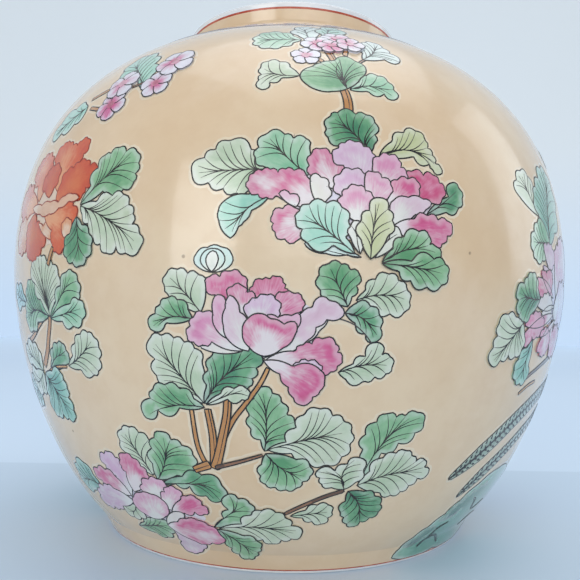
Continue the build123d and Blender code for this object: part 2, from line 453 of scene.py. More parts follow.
class Clay:
    """Loose vertices, faces and per-vertex values that gather into one piece."""

    def __init__(self):
        self.verts = []
        self.faces = []
        self.count = 0
        self.values = {}

    def add(self, verts, faces, **values):
        self.verts.append(verts)
        self.faces.extend([tuple(int(k) + self.count for k in face) for face in faces])
        for name, value in values.items():
            self.values.setdefault(name, []).append(value)
        self.count += len(verts)

    def piece(self, name, material):
        """A finished, closed, smooth mesh piece that rides on the jar."""
        mesh = bpy.data.meshes.new(name)
        mesh.from_pydata(np.vstack(self.verts).tolist(), [], self.faces)
        for value_name, parts in self.values.items():
            rows = np.concatenate(parts).astype(np.float32)
            if rows.ndim == 2 and rows.shape[1] == 4:
                layer = mesh.attributes.new(value_name, "FLOAT_COLOR", "POINT")
                layer.data.foreach_set("color", rows.ravel())
            elif rows.ndim == 2:
                layer = mesh.attributes.new(value_name, "FLOAT_VECTOR", "POINT")
                layer.data.foreach_set("vector", rows.ravel())
            else:
                layer = mesh.attributes.new(value_name, "FLOAT", "POINT")
                layer.data.foreach_set("value", rows)
        mesh.materials.append(material)
        mesh.polygons.foreach_set("use_smooth", [True] * len(mesh.polygons))
        mesh.set_sharp_from_angle(angle=SHARP_ANGLE)
        mesh.update()
        made = bpy.data.objects.new(name, mesh)
        bpy.context.scene.collection.objects.link(made)
        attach(made, "root")
        return made


def net(outline):
    """Triangles that fill an outline, with rows of points just inside its edge and a grid within."""
    ahead = np.roll(outline, -1, 0) - np.roll(outline, 1, 0)
    ahead /= np.maximum(np.hypot(ahead[:, 0], ahead[:, 1]), 1e-9)[:, None]
    ring = outline + np.column_stack((-ahead[:, 1], ahead[:, 0])) * RIM_INSET
    ring = ring[inside(ring, outline)]
    if len(ring):
        ring = ring[distance(ring, outline, True) > RIM_GAP]
    low, high = outline.min(0), outline.max(0)
    rows = np.arange(low[1], high[1], GRID_STEP * 0.866)
    grid = []
    for k, y in enumerate(rows):
        xs = np.arange(low[0] + (k % 2) * GRID_STEP / 2, high[0], GRID_STEP)
        grid.append(np.column_stack((xs, np.full(len(xs), y))))
    grid = np.vstack(grid) if grid else np.zeros((0, 2))
    if len(grid):
        grid = grid[inside(grid, outline)]
    if len(grid):
        grid = grid[distance(grid, outline, True) > GRID_GAP]
    points = np.vstack((outline, ring, grid))
    loop = [list(range(len(outline)))]
    filled = delaunay_2d_cdt([Vector(point) for point in points.tolist()], [], loop, 1, 1e-4)
    return np.array([tuple(v) for v in filled[0]]), [tuple(face) for face in filled[2]]


def shell(top, bottom, faces):
    """A closed shell: the faces on top, the same ones turned over beneath, and a skirt between."""
    count = len(top)
    made = list(faces)
    edges = {}
    for face in faces:
        made.append(tuple(k + count for k in reversed(face)))
        for one, other in zip(face, face[1:] + face[:1]):
            edges[(one, other)] = True
    for one, other in edges:
        if (other, one) not in edges:
            made.append((one, one + count, other + count, other))
    return np.vstack((top, bottom)), made


def lay_patch(clay, stroke):
    """The enamel of one stroke, raised to its layer."""
    flat, faces = net(stroke.outline)
    chart = WALL.chart(flat, stroke.about)
    lift = FIRST_LAYER + LAYER_STEP * stroke.level
    if stroke.kind == "wash":
        lift = FIRST_LAYER
    verts, closed = shell(WALL.spots(chart, lift), WALL.spots(chart, -SUNK), faces)
    edge = distance(flat, stroke.outline, True)
    from_base = np.hypot(flat[:, 0], flat[:, 1])
    to_rim = distance(flat, stroke.rim, False)
    run = from_base / np.maximum(from_base + to_rim, 1e-6)
    if stroke.kind in ("stem", "plume"):
        run = np.clip(1 - edge / max(float(edge.max()), 1e-6), 0, 1)
    if stroke.colour == "blossom":
        run = np.sqrt(run)
    if stroke.ink == RED or stroke.kind in ("stem", "plume") or stroke.colour == "blossom":
        edge = edge + NO_MARGIN
    lean = np.arctan2(flat[:, 1], flat[:, 0])
    heart, rim = PALETTE[stroke.colour]
    sheets = len(verts) // len(flat)
    brush = np.column_stack((np.cos(lean) * 3, np.sin(lean) * 3, from_base * 0.05))
    clay.add(
        verts,
        closed,
        heart=np.tile(linear(*heart), (len(verts), 1)),
        rim=np.tile(linear(*rim), (len(verts), 1)),
        run=np.tile(run, sheets),
        edge=np.tile(edge, sheets),
        brush=np.tile(brush, (sheets, 1)),
    )


def lay_line(clay, chart, width, rise, sunk, level_lift, closed, taper):
    """A three-sided raised line along (turn, up) rows."""
    count = len(chart)
    if count < 3:
        return
    about = chart[count // 2]
    line = WALL.flat(chart, about)
    if closed:
        run = np.roll(line, -1, 0) - np.roll(line, 1, 0)
    else:
        run = np.gradient(line, axis=0)
    run /= np.maximum(np.hypot(run[:, 0], run[:, 1]), 1e-9)[:, None]
    widths = np.full(count, width)
    if taper:
        widths *= 1 - 0.72 * np.linspace(0, 1, count) ** 2
    side = np.column_stack((run[:, 1], -run[:, 0])) * (widths / 2)[:, None]
    left = WALL.spots(WALL.chart(line - side, about), level_lift - sunk)
    right = WALL.spots(WALL.chart(line + side, about), level_lift - sunk)
    crown = WALL.spots(chart, level_lift + rise)
    verts = np.vstack((left, crown, right))
    faces = []
    for k in range(count if closed else count - 1):
        n = (k + 1) % count
        for one, other in ((0, count), (count, 2 * count), (2 * count, 0)):
            faces.append((one + k, other + k, other + n, one + n))
    if not closed:
        last = count - 1
        faces.append((0, 2 * count, count))
        faces.append((last, count + last, 2 * count + last))
    clay.add(verts, faces)


def resampled(line, step, closed):
    """The same line with points step mm apart."""
    if closed:
        line = np.vstack((line, line[:1]))
    gaps = np.hypot(*np.diff(line, axis=0).T)
    travelled = np.concatenate(([0], np.cumsum(gaps)))
    count = max(4, int(round(travelled[-1] / step)))
    at = np.linspace(0, travelled[-1], count + 1)
    if closed:
        at = at[:-1]
    return np.column_stack([np.interp(at, travelled, line[:, k]) for k in (0, 1)])


def shown_runs(hidden, closed):
    """Index runs of a line that stay in sight, each reaching one point under what covers it."""
    count = len(hidden)
    if not hidden.any():
        return [(list(range(count)), closed)]
    if hidden.all():
        return []
    order = list(range(count))
    if closed:
        start = int(np.argmax(hidden))
        order = order[start:] + order[:start] + [start]
    runs = []
    current = []
    for at, k in enumerate(order):
        if not hidden[k]:
            if not current and at:
                current.append(order[at - 1])
            current.append(k)
        elif current:
            runs.append((current + [k], False))
            current = []
    if current:
        runs.append((current, False))
    return [run for run in runs if len(run[0]) >= 3]


# ---------------------------------------------------------------- the sprays

UPPER_PEONY = [
    wash("wash", (4, 128), (14, 124), (20, 130), (21, 138), (18, 146), (12, 150), (6, 148), (0, 142),
         (0, 134)),
    leaf("pale", (-3.8, 147), (-4.6, 149.5), (-5.8, 153.5), (-9, 156.5), (-11, 153.5), (-12.6, 151),
         (-14.3, 146), (-11.6, 143), (-9.5, 141), (-7.6, 139.6), (-6, 140.2), (-5, 143.5)),
    leaf("light", (2.4, 145.2), (-3.9, 148), (-5, 150.5), (-4.6, 154), (-3.6, 158.6), (-1, 158.6),
         (0.3, 157), (2.2, 157.2), (2.6, 154.5)),
    leaf("turquoise", (-3, 138.2), (-6, 139), (-9.3, 136.8), (-10, 134), (-9.9, 131), (-8.2, 125.6),
         (-7.2, 129), (-6.4, 130.5), (-5.4, 134), swell=0.12),
    leaf("deep", (11.6, 153.5), (7.4, 155.6), (5.4, 158.2), (5.3, 161), (5.9, 165.5), (7, 167.2),
         (9.8, 166.9), (11.4, 167), (12.7, 164.5), (12.5, 160), (12.3, 156.8)),
    leaf("olive", (13, 153), (15.3, 158.2), (17.3, 161.6), (19.5, 162.9), (20.8, 160), (21, 157.2),
         (21.8, 154.8), (22, 151.8), (23.1, 150.5), (22.9, 148.6), (21.6, 149.8), (21.2, 151.8),
         (18.5, 153.7)),
    leaf("deep", (20, 134.8), (24, 141.3), (24.9, 146.2), (26, 144.4), (26.4, 141), (25.6, 138),
         (23.3, 136.2)),
    petal("rose", (14.5, 133), (16.8, 146.3), (18, 148.4), (19.8, 147.4), (21.5, 147.8), (22.4, 145.5),
          (23.3, 143.6), (22.8, 140.8), (21, 138.8)),
    petal("magenta", (6.5, 141), (3, 145), (2.7, 148.5), (3, 152), (4.3, 153.8), (5.6, 152.6),
          (6, 150.6), (7.6, 149.3), (7.8, 146.5)),
    petal("lilac", (10, 142), (7.5, 149), (6, 151.5), (6.9, 154.2), (9.3, 156.7), (10.6, 155.2),
          (11.8, 153.5), (12, 150), (11.3, 147.2)),
    petal("pink", (12.5, 141), (11.9, 150), (13, 152.3), (14.5, 153.1), (15.9, 151.8), (16, 149.3),
          (17, 147.5), (16.6, 145)),
    petal("magenta", (14, 135), (14.4, 142.5), (15.6, 145), (17.2, 145.5), (18.7, 145), (18.8, 142.5),
          (18.2, 140), (16.8, 138.8)),
    petal("lilac", (9, 137), (6.8, 139.5), (6.2, 142.5), (7.1, 145.8), (8.8, 147.4), (10.4, 146.2),
          (11.3, 143.5), (11, 141)),
    petal("pink", (11.5, 136), (10.6, 145.5), (11.9, 146.9), (13.1, 145.3), (14.4, 143), (14.2, 140.3),
          (12.8, 139)),
    petal("pink", (9.5, 131), (6.8, 136), (7.3, 138.8), (9.4, 142.2), (10.6, 140.7), (11.6, 139),
          (12, 136)),
    petal("magenta", (4.5, 135), (2.2, 144.9), (0.4, 146.5), (-1.8, 145.8), (-4, 146.4), (-5.8, 143.5),
          (-5.8, 140.5), (-4.5, 139.2), (-2, 138.8)),
    petal("white", (4, 135.5), (2.8, 144.9), (4.2, 144.6), (5.3, 141.5), (5.2, 138)),
    petal("pink", (0.8, 135.2), (-1.6, 139.3), (0, 139), (1.3, 137)),
    petal("magenta", (3, 131), (0.5, 135), (-1, 134.6), (-2.4, 132.4), (-2.2, 130), (-2, 127.6),
          (-0.6, 125.5), (1, 125)),
    petal("blush", (14.6, 130.3), (14.2, 136), (14.8, 138.5), (17, 139.6), (19.4, 139.5), (20.8, 138.6),
          (19.9, 136.6), (18, 134.5), swell=0.18),
    petal("magenta", (14.6, 130.3), (18, 133), (20, 134.2), (21.8, 133), (23.4, 133), (24.2, 130.8),
          (23.2, 128.5), (22.4, 126), (21.4, 124.6), (19.3, 125.5)),
    leaf("ice", (10, 120.5), (2, 124.5), (2.8, 122.5), (5, 121.4), (8, 121.2), swell=0.08),
    leaf("turquoise", (9, 121.5), (6, 124), (2.4, 124.6), (1.8, 128.5), (0.9, 131), (1.3, 133.6),
         (2.6, 135.8), (5, 136.3), (7.2, 135.2), (8, 131), (7.6, 126.5)),
    leaf("chalk", (9.8, 121.5), (8.4, 126.5), (8.5, 129.8), (9.5, 131.4), (10.3, 128)),
    leaf("chalk", (12, 120.5), (13.2, 126), (14.2, 130), (15.7, 128.5), (15.2, 125.5)),
    leaf("olive", (11.3, 120), (9.9, 126), (10, 131.5), (11.2, 134.8), (12.8, 138.9), (13.8, 135.4),
         (14.4, 132), (13.8, 127.5)),
    leaf("green", (13, 119.3), (14.6, 123.5), (16.2, 127), (18.6, 129.1), (20.2, 127.8), (20.1, 125),
         (21.3, 124.6), (22.2, 122.3), (21.4, 120.3)),
    leaf("green", (13, 118.8), (17.5, 119.8), (21, 120.8), (22.9, 119.5), (23.4, 116.2), (22.4, 113),
         (20, 112.3), (17.4, 114), (15.6, 116.8)),
]

MIDDLE_PEONY = [
    wash("wash", (-8, 92), (0, 88), (3, 92), (5, 102), (0, 108), (-6, 110), (-10, 104), (-10, 96)),
    petal("bud", (-10.6, 115.3), (-13.2, 117.6), (-13, 121), (-11.4, 122.7), (-9.4, 122.7), (-8, 120.8),
          (-8.2, 117.2), swell=0.2),
    petal("bud", (-10.7, 115.4), (-12.4, 118.2), (-12, 121.2), (-10.6, 122.4), (-9.2, 121), (-9, 118.2),
          swell=0.14),
    petal("chalk", (-10.8, 115.5), (-11.6, 118.4), (-11.2, 121), (-10.5, 121.8), (-10, 120.6),
          (-10, 118), swell=0.14),
    leaf("pale", (-12.5, 103), (-14.4, 104.2), (-17.3, 108.6), (-17.8, 111), (-17.6, 114.6), (-16, 116),
         (-14.4, 114.8), (-12.8, 114.5), (-11.7, 111)),
    leaf("green", (-13.8, 101), (-14.4, 103.6), (-16, 106.8), (-17.5, 107.2), (-18.7, 105),
         (-19.5, 102.5), (-20.6, 97.6), (-18, 99.7)),
    stem("bark", (1.2, 1.8), (-2.8, 86), (-4, 81), (-6, 75), (-8.5, 68), (-11, 58), (-12.5, 52)),
    stem("bark", (1.2, 1.6), (-15, 72), (-14.8, 60), (-14.2, 54.5), (-13.5, 51.5)),
    stem("bark", (2.0, 2.6), (-12.3, 72), (-11.9, 64), (-12, 57), (-12.3, 51)),
    stem("bark", (2.2, 3.2), (-8.9, 78), (-9.3, 70), (-10.3, 62), (-11.3, 55), (-12.2, 50.5)),
    stem("bark", (2.4, 3.0), (-16, 49.5), (-13, 52)),
    stem("twig", (1.4, 0.8), (-12, 51), (-8, 53.5), (-3.8, 56.5)),
    leaf("pale", (-12.8, 74), (-15, 75.6), (-18, 79.4), (-20.3, 82.6), (-20.2, 88), (-20.7, 94.8),
         (-18.8, 95.4), (-16.9, 94.8), (-15.3, 93.6), (-13.7, 91.8), (-12.7, 87.5)),
    leaf("deep", (-12.7, 74), (-12, 80), (-11.6, 85), (-11, 89.4), (-9.4, 91.2), (-6.5, 91.6),
         (-3.8, 90.2), (-4.6, 86.3), (-5.2, 82.7), (-5.8, 80), (-9, 77.8)),
    leaf("pale", (-12.4, 73.6), (-10, 77.4), (-7.8, 79.2), (-6, 79.3), (-5.7, 77), (-6.8, 75.8),
         (-9, 75.9)),
    leaf("green", (-12.8, 72.5), (-14.5, 75.4), (-16.7, 78.4), (-19, 79.4), (-21.3, 77.4), (-22, 74.6),
         (-23.6, 67.6), (-21, 70.8), (-17, 72)),
    leaf("green", (8.3, 105.5), (6.2, 107.2), (4.4, 110.5), (4.2, 114.6), (5.4, 118), (7.2, 118.2),
         (8.4, 116.4), (9.8, 115.2), (9.4, 112), (8.8, 108.5)),
    leaf("pale", (9.5, 107.5), (10.8, 110.4), (12.2, 114), (14, 115.6), (15.6, 113.6), (16.9, 111),
         (17.4, 107.6), (16.8, 104.4), (14.6, 103.6), (12, 105.6)),
    leaf("deep", (8, 103.5), (9.4, 106.4), (11.6, 105.6), (12.9, 103), (13.2, 99.4), (12.4, 94.6),
         (11.2, 97.4), (9.6, 100.4)),
    stem("thread", (0.45, 0.4), (5.4, 101.8), (7.4, 101.6), (9.4, 100), (11, 97.2), (12.1, 94.4),
         ink=None),
    leaf("pale", (7.5, 85), (9.6, 87.6), (11.4, 90), (13.2, 94.6), (13.7, 90.4), (15.2, 90), (15.6, 87),
         (14.8, 84.6), (13, 83.8), (11.4, 82.4), (8.6, 83)),
    petal("magenta", (-9.2, 96), (-10.2, 108.5), (-11.6, 111.4), (-11, 114), (-9.6, 113.6),
          (-8.2, 115.4), (-6.6, 114.4), (-5.9, 111.5), (-6.2, 109)),
    petal("rose", (-3, 104), (-5.2, 108.8), (-4.9, 111.3), (-3.6, 113.2), (-2.6, 113), (-1.7, 114.1),
          (-0.8, 112.4), (-0.6, 110.6), (0, 109)),
    petal("magenta", (-2.5, 101.5), (-1.8, 108), (-0.6, 109.2), (0.6, 109), (1.9, 107.4), (2, 105),
          (1.2, 103.6), (0, 102.3)),
    petal("magenta", (-6, 101), (-8.5, 108.4), (-7.8, 111), (-6.4, 111), (-5.8, 109), (-4.6, 108.6)),
    petal("lilac", (-4, 99), (-6, 103), (-5.4, 106.2), (-4.3, 107.4), (-3.1, 108.4), (-1.8, 107.2),
          (-1.3, 104), (-1.7, 101.8)),
    petal("white", (-6.5, 91.3), (-12.8, 92.3), (-11, 93.8), (-8.6, 93), swell=0.15),
    petal("pink", (-6.5, 91.5), (-9, 97.5), (-10.4, 101.6), (-12, 103.1), (-13.4, 101.6), (-14, 98.6),
          (-14.6, 96), (-13.6, 93.9), (-11, 94.2)),
    petal("pink", (-8.3, 95), (-10.2, 98), (-10.6, 103), (-10.2, 108.4), (-9, 108), (-9, 100),
          swell=0.12),
    petal("blush", (-5.6, 91.5), (-8.4, 94.6), (-9.1, 99), (-8.8, 104.5), (-8.2, 108.4), (-7.3, 107),
          (-6.9, 103.4), (-5.7, 101), swell=0.12),
    petal("white", (-1, 90), (3.2, 97), (5.6, 101.8), (4.4, 98.2), (2.8, 94.6), swell=0.12),
    petal("blush", (-2, 90), (0.9, 98.5), (2, 103.6), (3.4, 105), (4.4, 108.4), (5.7, 107),
          (7.3, 105.5), (7.8, 102.9), (5.4, 101.6), (3.9, 99.3), (2.8, 95.2), swell=0.18),
    petal("pink", (-1, 97), (-3, 102.6), (-1.4, 101.8), (0.6, 102.4), (1.5, 103.4), (1.4, 99),
          swell=0.15),
    petal("magenta", (-3.4, 90), (-5.6, 93), (-6.4, 97), (-5.6, 101.5), (-3.8, 103), (-2.6, 101.4),
          (-0.6, 99.8), (1.1, 100.6), (0.9, 96.5), (-0.8, 92.6), swell=0.14),
    petal("white", (-3.4, 89.3), (-0.5, 89.8), (1, 91.4), (0.4, 88.4), (-1.2, 87), swell=0.12),
    petal("magenta", (-3, 89), (1.2, 91.6), (3.4, 93.8), (5, 95.5), (6.8, 94), (7.1, 91.5), (7.8, 89.6),
          (7.2, 87.4), (6.3, 85.4), (4.6, 85.2), (2, 86.4)),
    petal("lilac", (2.5, 85.5), (0.8, 86.9), (1.6, 88), (3, 88.5), (4.4, 87.6), (5, 85.8)),
    petal("magenta", (-3.4, 88.6), (0.8, 86.8), (4.9, 85.6), (5.4, 82.4), (4.9, 79.4), (3.8, 77.2),
          (3.3, 75.2), (1.9, 74.6), (1, 77), (0.2, 80.4), (-1, 84.4), swell=0.2),
]

MIDDLE_LEAVES = [
    leaf("green", (-3.5, 58), (-4, 62), (-5.5, 66), (-5.6, 70.5), (-4.9, 76), (-3.8, 80), (-2.2, 77.8),
         (-0.9, 75), (-0.1, 70.8), (1.2, 68.4), (0.9, 64.6), (-0.8, 60.6)),
    leaf("pale", (-3, 58.5), (0, 61.4), (1.6, 66.4), (2.8, 71), (5, 72.9), (7, 70.6), (8.9, 68.6),
         (10.2, 65), (10.2, 60.6), (9.2, 56), (6.6, 53.2), (3.6, 55), (1, 57.4)),
    leaf("green", (-3.3, 57), (-4, 53), (-4.2, 48.6), (-3.5, 45.4), (-1.8, 44.4), (0, 43.4), (1.8, 44),
         (2.8, 46.8), (4.1, 48.6), (4, 52.4), (1.8, 55)),
    stem("twig", (1.2, 1.4), (0, 32.5), (3, 36), (7, 40), (10.5, 42.5)),
    leaf("green", (13.2, 46.5), (13.9, 53), (12.8, 58.4), (12.8, 64), (14.4, 68.2), (16, 71),
         (17.6, 69.8), (19.2, 70), (21.2, 71.2), (22.8, 67.4), (21.6, 64), (18.8, 60.4), (16, 57)),
    leaf("pale", (12.8, 44.5), (14.6, 50), (16.6, 55), (18.8, 56.4), (20.6, 57.2), (22, 55),
         (23.2, 52.6), (25, 53.2), (25.3, 50), (26.8, 47.2), (24.6, 46), (23.2, 43), (21.8, 40.6),
         (20, 39.5), (17.6, 41)),
    leaf("pale", (10.5, 43.2), (8, 44.2), (6.3, 45.6), (6, 48), (5.2, 50.6), (8.4, 50.4), (10.4, 53),
         (12.2, 55.6), (13.3, 50.6), (12.4, 46)),
    leaf("deep", (11.3, 42.2), (11.2, 38), (10.7, 33), (11.6, 30.8), (12.4, 27.4), (13.8, 25.8),
         (15, 28.2), (16.8, 29.6), (18.4, 32.4), (18.3, 35.6), (16.6, 39.4), (14.4, 41.8)),
    leaf("pale", (1, 31.5), (4, 34.2), (6, 36.5), (8, 36.5), (8.8, 33.4), (8.3, 30.6), (7.2, 27.6),
         (5.4, 29), (3.4, 30.8)),
    leaf("green", (-14.5, 24.3), (-12, 29), (-10.7, 33.4), (-10.3, 40.4), (-8.8, 38.4), (-6.6, 36.6),
         (-6.1, 33), (-7.2, 29.4), (-9.6, 26.8)),
    leaf("pale", (-13.5, 23.8), (-8.6, 27), (-6.4, 31.4), (-4.4, 33.8), (-1.8, 33.2), (0, 30.6),
         (1.2, 27), (3.4, 22.2), (1.4, 20.2), (-0.8, 19.6), (-2.6, 17.2), (-4.6, 19.4), (-7, 20.4)),
    leaf("green", (-14, 23.5), (-12.6, 18), (-11.8, 13.4), (-10.6, 9.4), (-8.4, 7.4), (-6.8, 8.8),
         (-6.2, 11.8), (-5.3, 14.6), (-6, 18.4), (-8.6, 21)),
]

MAUVE_PEONY = [
    wash("wash", (-36, 28), (-28, 20), (-20, 20), (-16, 28), (-20, 36), (-27, 44), (-34, 42),
         (-38, 34)),
    leaf("pale", (-25, 45), (-27.6, 48.4), (-29.8, 53), (-30.4, 57.6), (-29.4, 62), (-27.6, 63.2),
         (-25.8, 61.6), (-24, 59.2), (-23.5, 54)),
    leaf("green", (-24.2, 43.5), (-24.3, 50), (-23.6, 56), (-22.6, 60.4), (-21, 62.8), (-19.6, 60),
         (-17.6, 58.2), (-15.9, 54.8), (-16, 50.6), (-19.6, 46.6)),
    leaf("deep", (-23.5, 42), (-18.6, 46.2), (-14.8, 47.4), (-11.4, 43.6), (-12, 37), (-14.6, 39),
         (-17.6, 42.4), (-20.4, 42.8)),
    leaf("teal", (-42.6, 34), (-44, 39), (-46, 43.6), (-50, 42), (-52, 36), (-52.6, 31), (-48, 30)),
    leaf("green", (-36.5, 16.5), (-33.4, 20), (-30.6, 23.2), (-27.4, 23.8), (-25.4, 21.4),
         (-26.4, 16.4), (-28.4, 13.6), (-31.4, 14.6)),
    leaf("pale", (-33, 29), (-36.6, 28.6), (-38, 24.4), (-36, 21.6), (-33.6, 22.4), (-31.6, 24)),
    petal("lilac", (-33, 33), (-35.2, 42), (-37, 46), (-37.8, 49.4), (-36, 50.6), (-34.8, 51.9),
          (-33.4, 50), (-32.2, 48.4), (-31.4, 44)),
    petal("magenta", (-31.5, 36), (-31.6, 44.6), (-32, 49.4), (-30.4, 52.5), (-28.8, 51), (-27.4, 48.2),
          (-26.4, 45.2), (-26.6, 42.6)),
    petal("magenta", (-33, 33.5), (-35.6, 41.6), (-38, 43.4), (-40.6, 43), (-42.6, 40.4), (-41, 37.6),
          (-38.6, 35.4)),
    petal("lilac", (-33, 31), (-38, 35), (-41.6, 34.6), (-45.6, 28.4), (-46.6, 25.4), (-42, 24.6),
          (-38, 26.6)),
    petal("pink", (-25, 34), (-28.8, 36.8), (-28.4, 40.4), (-26.4, 43), (-24.4, 43.6), (-22.7, 41.2),
          (-22.4, 38)),
    petal("pink", (-24.2, 30.5), (-24.6, 37), (-23.4, 38.4), (-22.4, 40.8), (-20.7, 40.6),
          (-19.9, 37.4), (-20.4, 33.4), (-22.4, 30.6)),
    petal("magenta", (-23.5, 28.5), (-20.2, 36), (-18.8, 37.8), (-16.8, 37.2), (-16.2, 34.4),
          (-15, 32.2), (-16, 30.3), (-18, 31), (-20.4, 29.8)),
    petal("pink", (-28.5, 24), (-31.4, 25.6), (-33.2, 29.4), (-32.2, 33.6), (-29.8, 36.2),
          (-27.2, 36.4), (-24.8, 34.8), (-24, 30.6), (-25.4, 26.6), swell=0.16),
    petal("white", (-26, 22.6), (-23.6, 29), (-20.6, 29.6), (-21.4, 26.4), (-23.8, 24), swell=0.15),
    petal("lilac", (-25, 21), (-24.9, 16), (-24.8, 12.6), (-25.4, 8.4), (-23.4, 6.6), (-21.2, 7.2),
          (-19.6, 9.4), (-18.2, 13), (-20.4, 15), swell=0.2),
    petal("magenta", (-26, 22), (-22.8, 24.6), (-20.4, 27), (-17.8, 26.8), (-15.8, 24.8), (-13.9, 22.2),
          (-12.7, 19), (-13.8, 15.8), (-16.4, 15.2), (-18.2, 13.8), (-20.4, 14.8), swell=0.22),
]

IRON_RED_PEONY = [
    wash("warm_wash", (-52, 138), (-44, 126), (-38, 130), (-36, 142), (-38, 152), (-46, 154),
         (-52, 148)),
    red_petal("coral", (-48, 143), (-50, 150), (-53, 156), (-50.6, 161), (-47, 160.4), (-45.6, 154)),
    red_petal("coral", (-48, 141), (-52, 148), (-57, 150), (-59, 145), (-57, 140), (-52, 139)),
    red_petal("apricot", (-49, 139), (-53, 137), (-57.6, 134), (-57.4, 128), (-53.6, 125.4),
              (-51, 130)),
    red_petal("coral", (-41.5, 145), (-44.6, 157), (-45, 160.6), (-43.6, 163.4), (-41.4, 163.6),
              (-40, 162), (-38.6, 161.4), (-37.6, 163), (-36, 163.2), (-35.2, 160.6), (-36.2, 157.4),
              (-36.4, 155.2)),
    red_petal("vermilion", (-44, 143.5), (-46, 146.4), (-47.4, 149.6), (-46.4, 153), (-44.4, 155.4),
              (-42.4, 154.6), (-42, 150.6), (-42.8, 147)),
    red_petal("vermilion", (-41.5, 142), (-40.6, 148.4), (-39.6, 151.8), (-37.8, 152.4), (-36.4, 154.2),
              (-34.8, 154.4), (-33.6, 152.2), (-32, 151.8), (-31.5, 149.6), (-32.4, 146.4),
              (-33.8, 144.6), (-34.2, 142.4), (-36, 141)),
    red_petal("vermilion", (-48.6, 138.6), (-51, 136), (-51.6, 130), (-51, 124.6), (-49, 122),
              (-46.6, 122.8), (-45, 125.6), (-43.6, 128.8), (-45.4, 131.8), (-47.6, 135)),
    red_petal("apricot", (-46.6, 134.6), (-44.6, 133), (-43, 133.6), (-41.8, 132.4), (-40.8, 129.6),
              (-41.2, 127.6)),
    red_petal("coral", (-44.6, 137.4), (-40.4, 139.4), (-37.4, 140.8), (-36.2, 138.6), (-35, 135),
              (-36, 131.8), (-37.2, 127), (-38, 124.2), (-39.8, 123.4), (-41, 126.4), (-41.4, 131)),
    red_petal("apricot", (-37.8, 128), (-38.6, 131.4), (-38, 133.6), (-36.6, 134), (-36, 132),
              (-37, 128.6)),
    red_petal("shell", (-50, 141), (-46, 141), (-43, 141.4), (-40.4, 140.6), (-38.6, 142.6),
              (-36.6, 142.8), (-34.8, 141.2), (-37.4, 140.6), (-40, 138.8), (-43, 137.3), (-46.4, 138),
              swell=0.14),
    leaf("green", (-34.4, 138.8), (-32.4, 144.6), (-31.4, 151), (-30.4, 155.2), (-29.2, 155.2),
         (-27.8, 157.2), (-26.2, 155.4), (-24, 154.6), (-23.5, 151), (-23.8, 147.4), (-23.9, 144.4),
         (-25.6, 142.4), (-29.6, 142.6)),
    leaf("pale", (-34.3, 138.2), (-30.6, 139), (-27.6, 140.4), (-25.4, 140.4), (-24.4, 137),
         (-23.4, 134), (-23.6, 130.6), (-22.2, 127.6), (-21.9, 123.2), (-24.4, 121.6), (-26.2, 124),
         (-28, 121.8), (-29.2, 125), (-30.8, 126.8), (-32, 132), (-33.6, 135)),
    leaf("deep", (-34.9, 134.6), (-36.2, 129), (-37.4, 124.8), (-36.8, 121), (-35.2, 119.4),
         (-33.6, 118.2), (-32.2, 120.6), (-31.2, 124.4), (-31.8, 128.4), (-33.4, 131.4)),
    stem("bark", (1.6, 1.8), (-40.9, 125), (-41.6, 122.5), (-42.3, 119)),
]

IRON_RED_LEAVES = [
    stem("bark", (1.8, 2.4), (-43, 101), (-43.4, 98), (-44.5, 93.5), (-46, 88), (-48.4, 82.5)),
    stem("bark", (1.2, 1.8), (-45, 100.5), (-48, 97), (-51, 93.5), (-56, 90)),
    leaf("teal", (-52, 106), (-54, 109.6), (-57.4, 112.6), (-60.6, 110.8), (-60.2, 107), (-56, 105)),
    leaf("green", (-43.3, 101), (-45.6, 107), (-47.6, 112.6), (-49.6, 114.2), (-51.4, 111.8),
         (-52, 107), (-53, 102.6), (-53.2, 98), (-50.6, 95.8), (-48, 99)),
    leaf("pale", (-42.8, 101), (-45.4, 107), (-47.4, 113), (-48.8, 119.6), (-47, 122), (-44.8, 122.2),
         (-43, 120.4), (-41, 119), (-39.4, 115.6), (-39.8, 110), (-41, 106), fan=True),
    leaf("green", (-42.7, 100.6), (-40.4, 106), (-38.6, 111.6), (-37, 116), (-35.4, 116), (-34.4, 113),
         (-34, 109), (-34.6, 106.6)),
    leaf("light", (-42.4, 100.4), (-36.4, 105.4), (-34.2, 106.6), (-33.1, 104.2), (-33.8, 100.4),
         (-36.2, 98), (-39, 99.6)),
    leaf("deep", (-46, 81.5), (-44.8, 85.4), (-43.6, 89.6), (-41.8, 91.2), (-40.4, 91.6), (-39.5, 89),
         (-38.9, 86.8), (-39.8, 84.2)),
    stem("bark", (1.0, 1.0), (-47, 80.3), (-44, 82.5), (-40, 83.3)),
    leaf("pale", (-39.4, 83.6), (-37.6, 87.4), (-36.4, 91.8), (-34.8, 95), (-33, 95.8), (-31.8, 94.2),
         (-31, 91), (-31.2, 87), (-31.8, 82.8), (-33, 81.3), (-36, 82.8)),
    leaf("teal", (-54, 77), (-57, 75.6), (-61, 75), (-62, 68), (-58, 64.8), (-55.4, 69)),
    leaf("pale", (-49.6, 80.4), (-49.2, 84.6), (-50, 88.4), (-52.4, 90.4), (-56, 89.6), (-58.6, 86),
         (-55.6, 82.4)),
    leaf("pale", (-49.6, 80), (-54, 80), (-57.4, 78.6), (-57, 73.6), (-53, 71.4), (-50.4, 74)),
    leaf("teal", (-48.8, 79.6), (-45.6, 80.8), (-42.6, 80.8), (-42.3, 78), (-41.6, 75), (-42.2, 71.4),
         (-41.5, 66.4), (-42, 63), (-44, 63), (-46, 64.4), (-48.2, 62.8), (-49.9, 64.6), (-50, 70),
         (-49.6, 75)),
]

